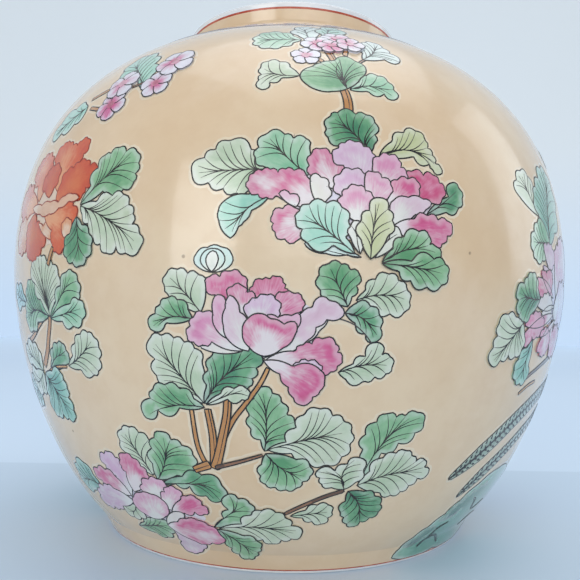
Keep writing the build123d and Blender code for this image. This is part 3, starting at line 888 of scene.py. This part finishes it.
TOP_SPRIG = [
    stem("bark", (2.6, 2.8), (8.4, 177), (8.8, 172), (8.7, 166.5)),
    stem("bark", (2.4, 2.0), (6.5, 198), (7.5, 190.5)),
    stem("bark", (1.6, 1.6), (10.4, 200), (9.7, 195)),
    stem("bark", (1.4, 1.6), (3.5, 193), (5.5, 190.5)),
    stem("twig", (0.8, 0.8), (11.5, 190), (13, 193), (14.8, 195.4)),
    leaf("pale", (1.2, 182.5), (-0.4, 186.6), (-2.2, 189.4), (-4.2, 189.8), (-5.3, 186.6), (-5, 183),
         (-5.4, 180.4), (-4.7, 175.9), (-3.8, 179.4), (-1.8, 181.4)),
    leaf("light", (9.4, 177), (11.2, 181), (12.8, 184.4), (14.8, 185), (16.4, 182.4), (17, 179),
         (17.1, 174.8), (15.2, 176.8), (12.4, 177.2)),
    leaf("green", (9, 177.5), (6.6, 175.9), (4.4, 175.9), (2.4, 178.4), (1.3, 182), (1.8, 185),
         (3.4, 187.2), (4.8, 189.4), (6.4, 190.8), (7.6, 191.2), (8.4, 193.6), (10, 194.3),
         (11.4, 191.8), (12.8, 190), (12.9, 186.8), (11.6, 183), fan=True, swell=0.08),
    leaf("ice", (13, 193.5), (13.6, 198), (14.4, 203.6), (15.6, 207.8), (17.4, 208.6), (18.8, 204.6),
         (19.6, 200.8), (20.8, 195.4), (17.6, 195.6)),
    leaf("light", (1.8, 205.3), (0, 202.8), (-2, 199.8), (-4.4, 198.7), (-6.6, 200.4), (-7.6, 204.6),
         (-7.2, 209.6), (-5.4, 213), (-2.4, 212.4), (0, 209)),
    leaf("ice", (3.4, 205), (1, 210), (0.6, 217), (2.4, 222), (5, 221.4), (6, 214)),
    leaf("turquoise", (6.6, 206), (6.4, 212), (6.8, 220), (9, 224), (11.4, 221), (10.4, 213)),
    blossom(9, 208, 5.4, 20),
    blossom(2.4, 193.6, 5.0),
    blossom(4.8, 202.6, 5.6, 30),
    blossom(7.4, 200.6, 4.6, 10),
    blossom(11.4, 202.4, 5.0, 50),
]

SIDE_SPRIG = [
    leaf("turquoise", (-41, 179.4), (-42.4, 181.4), (-46, 181), (-50, 176), (-51, 170), (-47, 170.4),
         (-43, 172.6), (-40.8, 174.8)),
    leaf("turquoise", (-26.9, 181), (-29.6, 187.6), (-33, 190.4), (-36.4, 196), (-36.4, 202),
         (-33, 205.4), (-29.6, 202.4), (-28, 196), (-26.6, 188)),
    stem("bark", (1.4, 1.6), (-41, 183), (-36, 186)),
    stem("bark", (1.4, 1.6), (-39.5, 178), (-36.5, 176)),
    stem("twig", (0.9, 0.9), (-36, 182), (-31, 183), (-25, 186)),
    blossom(-24.5, 183, 6.0, 12),
    blossom(-33.2, 176.5, 6.6, 40),
    blossom(-22.6, 194, 7.2, 30),
    blossom(-33, 186.5, 7.0),
]

RIGHT_PEONY = [
    stem("twig", (1.2, 1.6), (46, 80), (49, 82.5), (53.5, 85.5), (58, 88)),
    stem("bark", (1.0, 1.2), (45.8, 75), (49, 77.8), (52, 79)),
    leaf("pale", (47.4, 140), (39.3, 147.6), (40.4, 151.6), (42.2, 155.8), (44.6, 154.8), (45.6, 149)),
    leaf("teal", (50.4, 130), (46.4, 141), (45.7, 147.6), (47, 151.6), (49.4, 155.6), (52.6, 161),
         (56, 160.4), (57.6, 154), (57, 145), (54, 136)),
    leaf("light", (50.4, 131.6), (47.6, 138.8), (45.6, 137.6), (44.2, 134), (42.9, 130.4), (43.6, 127),
         (44.6, 124.2), (46.8, 124.2), (48.6, 127.4)),
    wash("wash", (48, 104), (58, 98), (62, 106), (61, 118), (56, 126), (50, 124)),
    petal("pink", (56, 108), (53, 126), (56, 131), (61, 134), (65, 128), (62, 118), (57, 116)),
    petal("lilac", (54, 106), (56, 114), (62, 116), (66, 110), (64, 102), (58, 100)),
    petal("magenta", (54, 103), (56, 98), (61, 99), (64, 94), (60, 89), (56, 91)),
    petal("lilac", (52, 118), (47.4, 129.4), (49, 130), (51.6, 129.2), (52.6, 126), (50.6, 121.6),
          (47.2, 122.6)),
    petal("magenta", (53, 111), (46.4, 119.6), (48.6, 119.4), (50.8, 120.6), (51.6, 115.6),
          (49.6, 111.6), (46.6, 111.4), (45, 114.4), (45.2, 118)),
    petal("white", (54, 108), (45.8, 107.6), (47.6, 110.6), (50.4, 111.6), (52.6, 107.6), (51.4, 104.6),
          (47.8, 105.4)),
    petal("magenta", (54, 105), (42.4, 100.4), (44.6, 104.4), (47.6, 104), (49.6, 101.6), (48.6, 98.6),
          (45.2, 97), (44.4, 93.8), (42.6, 94.4), (42.2, 97.4)),
    petal("magenta", (56, 103), (48.6, 96.4), (50, 99), (52.6, 98.4), (54.4, 93.4), (52.4, 89.6),
          (50, 90.8), (48.4, 93.2)),
    leaf("deep", (46.4, 110), (45, 114), (44.4, 117.6), (43, 119), (41.6, 117.4), (40.6, 115),
         (38.5, 112.4), (39.3, 109.4), (39.9, 104.2), (41.4, 102.2), (43.4, 104.4)),
    leaf("pale", (41.4, 101.5), (38.8, 103.6), (36.8, 104.2), (34.8, 101), (35, 97), (34.4, 93),
         (34.3, 87.2), (36.6, 88.6), (38.6, 90.4), (40.6, 89.6), (42.4, 92.4), (42.4, 97)),
    leaf("teal", (45.8, 95.5), (44.2, 92.4), (42.2, 88.4), (41.6, 84.4), (42.8, 80.8), (44.6, 79.4),
         (46.4, 79.8), (46.2, 86)),
]

ROCK_AND_PLUMES = [
    petal("rock", (44, 3), (28.5, 3.5), (30, 8), (32, 14), (35, 19.5), (38, 25), (41, 31), (45, 37),
          (52, 42), (60, 40), (66, 30), (68, 18), (66, 6), swell=0.12),
    stem("crack", (0.9, 0.5), (36, 7), (38.5, 11), (41, 11.5), (44.5, 6)),
    stem("crack", (0.9, 0.5), (38.5, 11), (39, 16), (42, 19)),
    stem("crack", (0.9, 0.5), (45, 26), (48, 29), (51, 22), (56, 25)),
    stem("crack", (0.9, 0.5), (52, 12), (55, 17), (60, 16)),
    petal("moss", (42, 22), (37.5, 21), (39, 25), (42, 30), (46, 34), (50, 36), (47, 30), (44, 25),
          ink=None),
    petal("moss", (34, 8), (31, 8), (33.5, 13.5), (36, 18.5), (38, 18), (36, 12), ink=None),
    plume(7.5, (32.8, 43.3), (38, 50.5), (44, 59), (50, 66), (58, 72), (68, 76)),
    plume(6.2, (38.3, 33.5), (42, 40), (46, 46), (51, 52), (57, 58), (67, 64)),
]


def moved(spray, turn=0.0, mirror=None, up=0.0):
    """The spray carried round and up the wall, and turned over about the mirror azimuth if one is given."""
    def place(point):
        across = point[0] if mirror is None else 2 * mirror - point[0]
        return across + turn, point[1] + up
    made = []
    for kind, colour, base, points, how in spray:
        made.append((kind, colour, place(base), tuple(place(point) for point in points), how))
    return made


SPRAYS = [
    ("side_sprig", SIDE_SPRIG),
    ("top_sprig", TOP_SPRIG),
    ("iron_red_leaves", IRON_RED_LEAVES),
    ("iron_red_peony", IRON_RED_PEONY),
    ("mauve_peony", MAUVE_PEONY),
    ("middle_leaves", MIDDLE_LEAVES),
    ("middle_peony", MIDDLE_PEONY),
    ("upper_peony", UPPER_PEONY),
    ("rock_and_plumes", ROCK_AND_PLUMES),
    ("right_peony", RIGHT_PEONY),
]


# the far side repeats the same flowers, carried round and turned over
SPRAYS += [
    ("far_right_sprig", moved(SIDE_SPRIG, turn=115)),
    ("far_right_mauve_peony", moved(MAUVE_PEONY, turn=135)),
    ("far_right_iron_red_leaves", moved(IRON_RED_LEAVES, turn=141)),
    ("far_right_iron_red_peony", moved(IRON_RED_PEONY, turn=141)),
    ("far_right_top_sprig", moved(TOP_SPRIG, turn=112, mirror=6)),
    ("far_right_leaves", moved(MIDDLE_LEAVES, turn=132, up=42)),
    ("back_mauve_peony", moved(MAUVE_PEONY, turn=185, mirror=-3)),
    ("back_middle_leaves", moved(MIDDLE_LEAVES, turn=185, mirror=-3)),
    ("back_middle_peony", moved(MIDDLE_PEONY, turn=185, mirror=-3)),
    ("back_upper_peony", moved(UPPER_PEONY, turn=172, mirror=5)),
    ("back_top_sprig", moved(TOP_SPRIG, turn=174, mirror=6)),
    ("back_side_sprig", moved(SIDE_SPRIG, turn=-108)),
    ("far_left_iron_red_leaves", moved(IRON_RED_LEAVES, turn=-95)),
    ("far_left_upper_peony", moved(UPPER_PEONY, turn=-150)),
    ("far_left_rock_and_plumes", moved(ROCK_AND_PLUMES, turn=-145, mirror=48)),
    ("far_left_peony", moved(RIGHT_PEONY, turn=-150, mirror=50)),
    ("far_left_top_sprig", moved(TOP_SPRIG, turn=-96)),
]


# ---------------------------------------------------------------- painting the sprays

def laid(sprays):
    """All strokes in painting order, each on the first free layer above what it overlaps."""
    strokes = []
    for name, spray in sprays:
        for entry in spray:
            for stroke in strokes_from(entry):
                stroke.spray = name
                strokes.append(stroke)
    solid = [stroke for stroke in strokes if stroke.kind != "wash"]
    for k, stroke in enumerate(solid):
        for earlier in solid[:k]:
            if earlier.level >= stroke.level and stroke.meets(earlier):
                if earlier.covers(stroke.chart).any() or stroke.covers(earlier.chart).any():
                    stroke.level = earlier.level + 1
    return strokes, solid


def paint(sprays, materials):
    """Every spray's petals, leaves, stems, ink and halo, as pieces of their own."""
    strokes, solid = laid(sprays)
    clays = {}

    def clay(spray, part):
        return clays.setdefault((spray, part), Clay())

    parts = {"petal": "petals", "leaf": "leaves", "stem": "stems", "wash": "wash", "plume": "plumes"}
    for stroke in strokes:
        lay_patch(clay(stroke.spray, parts[stroke.kind]), stroke)
    for k, stroke in enumerate(solid):
        lift = FIRST_LAYER + LAYER_STEP * stroke.level
        later = [other for other in solid[k + 1:] if other.meets(stroke)]
        around = [other for other in solid if other is not stroke and other.meets(stroke)]
        lines = []
        if stroke.ink:
            width = PETAL_LINE_W if stroke.kind == "petal" else OUTLINE_W
            lines.append((stroke.outline, width, True, False))
        width = BAR_W if stroke.kind == "plume" else VEIN_W
        for vein in stroke.veins:
            lines.append((vein, width, False, True))
        pot = clay(stroke.spray, "red_lines" if stroke.ink == RED else "ink_lines")
        for line, width, closed, taper in lines:
            chart = WALL.chart(resampled(line, INK_STEP, closed), stroke.about)
            hidden = np.zeros(len(chart), bool)
            for other in later:
                hidden |= other.covers(chart)
            for run, whole in shown_runs(hidden, closed):
                lay_line(pot, chart[run], width, INK_RISE, INK_SUNK, lift, whole, taper)
        wide = resampled(stroke.outline, HALO_STEP, True)
        ahead = np.roll(wide, -1, 0) - np.roll(wide, 1, 0)
        ahead /= np.maximum(np.hypot(ahead[:, 0], ahead[:, 1]), 1e-9)[:, None]
        wide = wide + np.column_stack((ahead[:, 1], -ahead[:, 0])) * HALO_OUT
        chart = WALL.chart(wide, stroke.about)
        hidden = np.zeros(len(chart), bool)
        for other in around:
            hidden |= other.covers(chart)
        for run, whole in shown_runs(hidden, True):
            lay_line(clay(stroke.spray, "halo"), chart[run], HALO_W, HALO_RISE, HALO_SUNK, 0, whole, False)
    finish = {"ink_lines": "ink", "red_lines": "petal_red", "halo": "halo"}
    for (spray, part), pot in clays.items():
        if pot.count:
            pot.piece(f"{spray}_{part}", materials[finish.get(part, "enamel")])


# ---------------------------------------------------------------- the neck border

BORDER_LOW = 229.0
BORDER_HIGH = 252.0
BORDER_LIFT = 0.09
BORDER_SIDES = 192
EDGE_POINTS = 288
BORDER_SCROLLS = 30
SCROLL_UP = 234.6


def turned_band(name, stations, sides, material):
    """A closed ring turned about the jar's axis through (radius, height) stations in mm, outer side first."""
    radius, height = stations[0]
    bpy.ops.mesh.primitive_circle_add(vertices=sides, radius=radius * MM, location=(0, 0, height * MM))
    band = bpy.context.object
    band.name = name
    bpy.ops.object.transform_apply(location=True, rotation=True, scale=True)
    bpy.ops.object.mode_set(mode="EDIT")
    bpy.ops.mesh.select_mode(type="EDGE")
    bpy.ops.mesh.select_all(action="SELECT")
    for (before, below), (after, above) in zip(stations, stations[1:]):
        bpy.ops.mesh.extrude_region_move(TRANSFORM_OT_translate={"value": (0, 0, (above - below) * MM)})
        wider = after / before
        bpy.ops.transform.resize(value=(wider, wider, 1), center_override=(0, 0, 0))
    bpy.ops.mesh.select_all(action="DESELECT")
    bpy.ops.mesh.select_non_manifold()
    bpy.ops.mesh.bridge_edge_loops()
    bpy.ops.mesh.select_all(action="SELECT")
    bpy.ops.mesh.remove_doubles(threshold=1e-6)
    bpy.ops.mesh.normals_make_consistent(inside=False)
    bpy.ops.object.mode_set(mode="OBJECT")
    bpy.ops.object.shade_smooth_by_angle(angle=SHARP_ANGLE)
    band.data.materials.append(material)
    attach(band, "root")
    bpy.ops.object.select_all(action="DESELECT")
    return band


def border_stations():
    """Up the outside of the border and back down inside the ground enamel, as (radius, height) in mm."""
    ups = np.linspace(BORDER_LOW, BORDER_HIGH, 9)
    front = np.column_stack((np.zeros(len(ups)), ups))
    outer = WALL.spots(front, BORDER_LIFT) / MM
    inner = WALL.spots(front[::-1], -SUNK) / MM
    return [(-y, z) for _, y, z in np.vstack((outer, inner))]


def border_scrolls(material):
    """Small brushed scrolls that run round the border, each a curl with a tail."""
    pot = Clay()
    for k in range(BORDER_SCROLLS):
        turn = 360 / BORDER_SCROLLS * k
        hand = 1 if k % 2 else -1
        t = np.linspace(0, 1, 26)
        swing = t * math.tau * 1.15 - 0.6
        radius = 4.2 * (1 - 0.72 * t)
        curl = np.column_stack((radius * np.cos(swing) * 1.3, hand * radius * np.sin(swing)))
        tail = np.column_stack((4.4 + 3.4 * t[::2], hand * (-2.4 + 4.0 * t[::2] ** 2)))
        for line, width in ((curl, 0.95), (tail, 0.8)):
            chart = WALL.chart(resampled(line, INK_STEP, False), (turn, SCROLL_UP))
            lay_line(pot, chart, width, INK_RISE, INK_SUNK, BORDER_LIFT, False, True)
    return pot.piece("neck_border_scrolls", material)


def build_border(materials):
    turned_band("neck_border", border_stations(), BORDER_SIDES, materials["border"])
    border_scrolls(materials["squiggle"])
    pot = Clay()
    for up, width in ((BORDER_LOW, 0.8), (BORDER_HIGH, 0.7)):
        turns = np.linspace(-180, 180, EDGE_POINTS + 1)[:-1]
        ring = np.column_stack((turns, np.full(len(turns), up)))
        lay_ring(pot, ring, width)
    pot.piece("neck_border_edges", materials["squiggle"])


def lay_ring(pot, ring, width):
    """A raised line all the way round the jar."""
    count = len(ring)
    low = WALL.spots(ring - (0, width / 2), BORDER_LIFT - INK_SUNK)
    crown = WALL.spots(ring, BORDER_LIFT + INK_RISE)
    high = WALL.spots(ring + (0, width / 2), BORDER_LIFT - INK_SUNK)
    faces = []
    for k in range(count):
        n = (k + 1) % count
        for one, other in ((0, count), (count, 2 * count), (2 * count, 0)):
            faces.append((one + k, one + n, other + n, other + k))
    pot.add(np.vstack((low, crown, high)), faces)


# ---------------------------------------------------------------- materials

COAT_ROUGH = 0.06
GLASS_IOR = 1.5


class Nodes:
    """A material's node tree, with short ways to add and join nodes."""

    def __init__(self, name):
        self.material = bpy.data.materials.new(name)
        self.material.use_nodes = True
        self.tree = self.material.node_tree
        self.shader = self.tree.nodes["Principled BSDF"]
        self.place = self.add("ShaderNodeTexCoord").outputs["Object"]

    def add(self, kind, **settings):
        node = self.tree.nodes.new(kind)
        for key, value in settings.items():
            setattr(node, key, value)
        return node

    def join(self, source, target):
        self.tree.links.new(source, target)

    def noise(self, scale, detail, rough, place=None):
        node = self.add("ShaderNodeTexNoise")
        node.inputs["Scale"].default_value = scale
        node.inputs["Detail"].default_value = detail
        node.inputs["Roughness"].default_value = rough
        self.join(self.place if place is None else place, node.inputs["Vector"])
        return node.outputs["Fac"]

    def span(self, source, low, high, to_low=0.0, to_high=1.0):
        """The source from low..high carried to to_low..to_high, clamped and eased."""
        node = self.add("ShaderNodeMapRange", interpolation_type="SMOOTHSTEP")
        for key, value in zip(("From Min", "From Max", "To Min", "To Max"), (low, high, to_low, to_high)):
            node.inputs[key].default_value = value
        self.join(source, node.inputs["Value"])
        return node.outputs["Result"]

    def maths(self, operation, one, other):
        node = self.add("ShaderNodeMath", operation=operation)
        for socket, value in zip(node.inputs, (one, other)):
            if isinstance(value, (int, float)):
                socket.default_value = value
            else:
                self.join(value, socket)
        return node.outputs["Value"]

    def mix(self, factor, one, other, blend="MIX"):
        node = self.add("ShaderNodeMix", data_type="RGBA", blend_type=blend)
        sockets = (node.inputs["Factor"], node.inputs[6], node.inputs[7])
        for socket, value in zip(sockets, (factor, one, other)):
            if isinstance(value, (int, float, tuple)):
                socket.default_value = value
            else:
                self.join(value, socket)
        return node.outputs[2]

    def value(self, name):
        return self.add("ShaderNodeAttribute", attribute_name=name, attribute_type="GEOMETRY")

    def bump(self, source, strength, depth):
        node = self.add("ShaderNodeBump")
        node.inputs["Strength"].default_value = strength
        node.inputs["Distance"].default_value = depth
        self.join(source, node.inputs["Height"])
        self.join(node.outputs["Normal"], self.shader.inputs["Normal"])

    def finish(self, colour, rough_low, rough_high, rough_source, coat=0.0):
        self.join(colour, self.shader.inputs["Base Color"])
        self.join(self.span(rough_source, 0.3, 0.7, rough_low, rough_high), self.shader.inputs["Roughness"])
        self.shader.inputs["Coat Weight"].default_value = coat
        self.shader.inputs["Coat Roughness"].default_value = COAT_ROUGH
        self.shader.inputs["IOR"].default_value = GLASS_IOR
        return self.material


def peach_ground():
    """Even peach enamel, a little cloudy, with tiny dark specks from the kiln."""
    n = Nodes("peach_ground_enamel")
    cloud = n.noise(14, 3, 0.55)
    fine = n.noise(120, 3, 0.6)
    colour = n.mix(n.span(cloud, 0.34, 0.66), linear(226, 194, 155), linear(234, 208, 173))
    colour = n.mix(n.span(n.noise(38, 4, 0.6), 0.42, 0.75, 0.0, 0.45), colour, linear(238, 212, 182))
    colour = n.mix(n.span(fine, 0.35, 0.7, 0.0, 0.18), colour, linear(214, 176, 136))
    speck = n.add("ShaderNodeTexVoronoi", feature="F1")
    speck.inputs["Scale"].default_value = 90
    n.join(n.place, speck.inputs["Vector"])
    rare = n.span(n.noise(55, 1, 0.5), 0.60, 0.66)
    dot = n.maths("MULTIPLY", n.span(speck.outputs["Distance"], 0.03, 0.07, 1.0, 0.0), rare)
    colour = n.mix(n.maths("MULTIPLY", dot, 0.65), colour, linear(120, 92, 66))
    n.bump(n.noise(60, 2, 0.5), 0.10, 0.0006)
    return n.finish(colour, 0.13, 0.22, fine, coat=0.6)


def painted_enamel():
    """Translucent petals and leaves: a heart and a rim colour, washed into each other by the brush."""
    n = Nodes("painted_enamel")
    heart = n.value("heart").outputs["Color"]
    rim = n.value("rim").outputs["Color"]
    run = n.value("run").outputs["Fac"]
    edge = n.value("edge").outputs["Fac"]
    brush = n.value("brush").outputs["Vector"]
    pool = n.noise(85, 3, 0.55)
    hairs = n.noise(5.0, 4, 0.6, place=brush)
    reach = n.maths("ADD", run, n.maths("MULTIPLY", n.maths("SUBTRACT", pool, 0.5), 1.5))
    reach = n.maths("ADD", reach, n.maths("MULTIPLY", n.maths("SUBTRACT", hairs, 0.5), 0.5))
    colour = n.mix(n.span(reach, 0.42, 1.02), heart, rim)
    pooled = n.mix(0.55, rim, rim, "MULTIPLY")
    colour = n.mix(n.span(reach, 0.98, 1.30, 0.0, 0.8), colour, pooled)
    pale = n.mix(0.42, colour, linear(240, 236, 234))
    thin = n.span(edge, 0.6, 2.2, 0.85, 0.0)
    colour = n.mix(n.maths("MULTIPLY", thin, n.span(pool, 0.38, 0.60, 0.15, 1.0)), colour, pale)
    dark = n.mix(0.5, colour, heart, "MULTIPLY")
    colour = n.mix(n.span(n.noise(60, 3, 0.6), 0.55, 0.8, 0.0, 0.35), colour, dark)
    n.bump(n.noise(140, 2, 0.5), 0.16, 0.0005)
    return n.finish(colour, 0.12, 0.24, pool, coat=1.0)


def ink_line():
    """Manganese black brown outline, thin where the brush ran dry."""
    n = Nodes("ink_line_enamel")
    dry = n.noise(420, 3, 0.6)
    colour = n.mix(n.span(dry, 0.45, 0.75), linear(28, 24, 22), linear(66, 56, 48))
    n.bump(dry, 0.15, 0.0003)
    return n.finish(colour, 0.20, 0.34, dry, coat=0.2)


def iron_red(name, dense, thin):
    """Iron red line, denser where the brush paused."""
    n = Nodes(name)
    pause = n.noise(160, 4, 0.6)
    colour = n.mix(n.span(pause, 0.35, 0.7), linear(*dense), linear(*thin))
    n.bump(pause, 0.12, 0.0003)
    return n.finish(colour, 0.18, 0.34, pause, coat=0.2)


def glaze(name, warm, cool, coat=0.5):
    """Clear glaze over white porcelain, faintly pooled, with orange-peel ripple."""
    n = Nodes(name)
    pool = n.noise(30, 3, 0.5)
    fine = n.noise(260, 2, 0.5)
    colour = n.mix(n.span(pool, 0.35, 0.65), linear(*warm), linear(*cool))
    colour = n.mix(n.span(fine, 0.55, 0.8, 0.0, 0.15), colour, linear(206, 196, 186))
    n.bump(n.noise(90, 2, 0.5), 0.10, 0.0004)
    return n.finish(colour, 0.08, 0.16, pool, coat=coat)


def bare_clay():
    """Unglazed porcelain, dry and finely granular, stained a little where it stands."""
    n = Nodes("bare_porcelain_clay")
    grain = n.noise(900, 4, 0.65)
    stain = n.noise(45, 4, 0.6)
    colour = n.mix(n.span(stain, 0.4, 0.75), linear(232, 222, 206), linear(206, 184, 158))
    colour = n.mix(n.span(grain, 0.45, 0.7, 0.0, 0.35), colour, linear(196, 182, 162))
    n.bump(grain, 0.35, 0.0002)
    return n.finish(colour, 0.62, 0.8, grain)


def make_materials():
    return {
        "ground": peach_ground(),
        "enamel": painted_enamel(),
        "ink": ink_line(),
        "iron_red": iron_red("iron_red_enamel_line", (174, 66, 44), (196, 94, 64)),
        "petal_red": iron_red("iron_red_petal_line", (138, 34, 12), (166, 58, 30)),
        "halo": glaze("halo_glaze", (236, 216, 186), (232, 208, 174), coat=1.0),
        "white": glaze("white_glaze_over_body", (240, 237, 232), (230, 230, 230)),
        "border": glaze("border_glaze", (240, 238, 238), (230, 228, 234)),
        "clay": bare_clay(),
        "squiggle": glaze("squiggle_enamel", (98, 86, 122), (126, 112, 142), coat=0.2),
    }


def dress_cad(materials):
    """Every node of the frame gets its own finish."""
    finishes = {
        "lower_bowl": "clay",
        "belly_lute": "clay",
        "upper_bowl": "clay",
        "neck_lute": "clay",
        "neck_ring": "clay",
        "foot_ring": "clay",
        "base_glaze": "white",
        "inner_glaze": "white",
        "lip_glaze": "white",
        "ground_enamel": "ground",
        "foot_glaze": "white",
        "foot_line": "iron_red",
        "rim_line": "iron_red",
    }
    for node, finish in finishes.items():
        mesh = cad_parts[node].data
        mesh.materials.clear()
        mesh.materials.append(materials[finish])


# ---------------------------------------------------------------- stage, lights and camera

# the table's back edge, and the backdrop's distance and middle, in metres
TABLE_BACK = 0.085
WALL_Y = 2.4
WALL_MIDDLE = 2.0
SHEET_SIZE = 8

# name, place, size, power in watts, colour
JAR_MIDDLE = (0, 0, 0.11)
SPREAD = math.radians(80)
WORLD_STRENGTH = 0.66
LIGHTS = [
    ("window_left", (-1.05, -1.75, 0.60), (0.9, 1.5), 2.4, (1.0, 0.98, 0.95)),
    ("overhead", (0.2, 0.1, 2.2), (2.2, 2.2), 4.2, (0.97, 0.98, 1.0)),
    ("window_right", (1.9, 0.35, 0.9), (0.8, 1.8), 1.0, (0.93, 0.97, 1.0)),
    ("fill_front", (0.6, -2.2, 0.75), (2.2, 1.2), 2.6, (1.0, 0.98, 0.95)),
]

# the camera stands close, a little below the belly, and looks slightly up; lengths in mm, angles in radians
LENS = 39.6
SENSOR = 36
SHIFT = 0.0031
CAMERA_PLACE = (0, -0.315, 0.091)
CAMERA_UP = 0.047
CAMERA_ROLL = 0.0165


def stage_material(name, gloss, near, far, change, painted_glow, painted_glow_span):
    """A pale matt surface whose colour and painted glow go from near to far along the plane's own y. The glow
    is painted light: emission that lights the sheet though it is no lamp.
    """
    n = Nodes(name)
    parts = n.add("ShaderNodeSeparateXYZ")
    n.join(n.place, parts.inputs["Vector"])
    along = parts.outputs["Y"]
    colour = n.mix(n.span(along, *change), linear(*near), linear(*far))
    tone = n.span(n.noise(1.6, 2, 0.5), 0.3, 0.7, 0.0, 0.04)
    colour = n.mix(tone, colour, linear(255, 255, 255))
    n.join(colour, n.shader.inputs["Base Color"])
    # painted light: the sheet glows by emission in its own colour, from the first to the second glow amount
    # across its span
    n.join(colour, n.shader.inputs["Emission Color"])
    n.join(n.span(along, *painted_glow_span, *painted_glow), n.shader.inputs["Emission Strength"])
    n.shader.inputs["Roughness"].default_value = gloss
    return n.material


def flat_sheet(name, material, **place):
    """One square sheet of the stage, which isn't part of the jar."""
    bpy.ops.mesh.primitive_plane_add(size=SHEET_SIZE, **place)
    sheet = bpy.context.object
    sheet.name = name
    sheet.data.materials.append(material)
    return sheet


def build_stage():
    step = (TABLE_BACK - 0.002, TABLE_BACK + 0.002)
    low = (-WALL_MIDDLE, -1.1)
    rise = (0.5, 2.4)
    # the table steps to the backdrop's colour at its back edge; its glow is painted light, rising from 0.13
    # to 0.30 between 0.5 and 2.4 m back, so the far floor and the corner show no shade
    table = stage_material("table_top_painted_glow", 0.45, (186, 204, 222), (198, 215, 233), step, (0.13, 0.30), rise)
    # the backdrop is painted light: its colour goes from bluish at the floor to paler grey 0.9 m up, as light
    # falls on it, and it glows evenly by emission
    paper = stage_material("backdrop_paper_painted_light", 0.9, (206, 221, 236), (224, 228, 229), low, (0.36, 0.36), low)
    floor = flat_sheet("floor", table, location=(0, 0, 0))
    wall = flat_sheet("backdrop", paper, location=(0, WALL_Y, WALL_MIDDLE), rotation=(math.pi / 2, 0, 0))


def build_lights():
    """Soft boxes that all aim at the middle of the jar, and an even pale world."""
    for name, place, size, power, colour in LIGHTS:
        light = bpy.data.lights.new(name, "AREA")
        light.shape = "RECTANGLE"
        light.size, light.size_y = size
        light.energy = power
        light.color = colour
        light.spread = SPREAD
        holder = bpy.data.objects.new(name, light)
        holder.location = place
        aim = Vector(JAR_MIDDLE) - Vector(place)
        holder.rotation_euler = aim.to_track_quat("-Z", "Y").to_euler()
        bpy.context.scene.collection.objects.link(holder)
    world = bpy.data.worlds.new("studio")
    bpy.context.scene.world = world
    world.use_nodes = True
    back = world.node_tree.nodes["Background"]
    back.inputs["Color"].default_value = linear(222, 232, 242)
    back.inputs["Strength"].default_value = WORLD_STRENGTH


def build_camera():
    data = bpy.data.cameras.new("camera")
    data.lens = LENS
    data.sensor_width = SENSOR
    data.shift_x = SHIFT
    data.clip_start = 0.01
    camera = bpy.data.objects.new("camera", data)
    camera.location = CAMERA_PLACE
    camera.rotation_euler = (math.pi / 2 + CAMERA_UP, -CAMERA_ROLL, 0)
    bpy.context.scene.collection.objects.link(camera)
    bpy.context.scene.camera = camera
    bpy.context.scene.view_settings.view_transform = "Standard"


bpy.ops.object.select_all(action="DESELECT")
build_camera()
build_stage()
build_lights()
MATERIALS = make_materials()
dress_cad(MATERIALS)
paint(SPRAYS, MATERIALS)
build_border(MATERIALS)
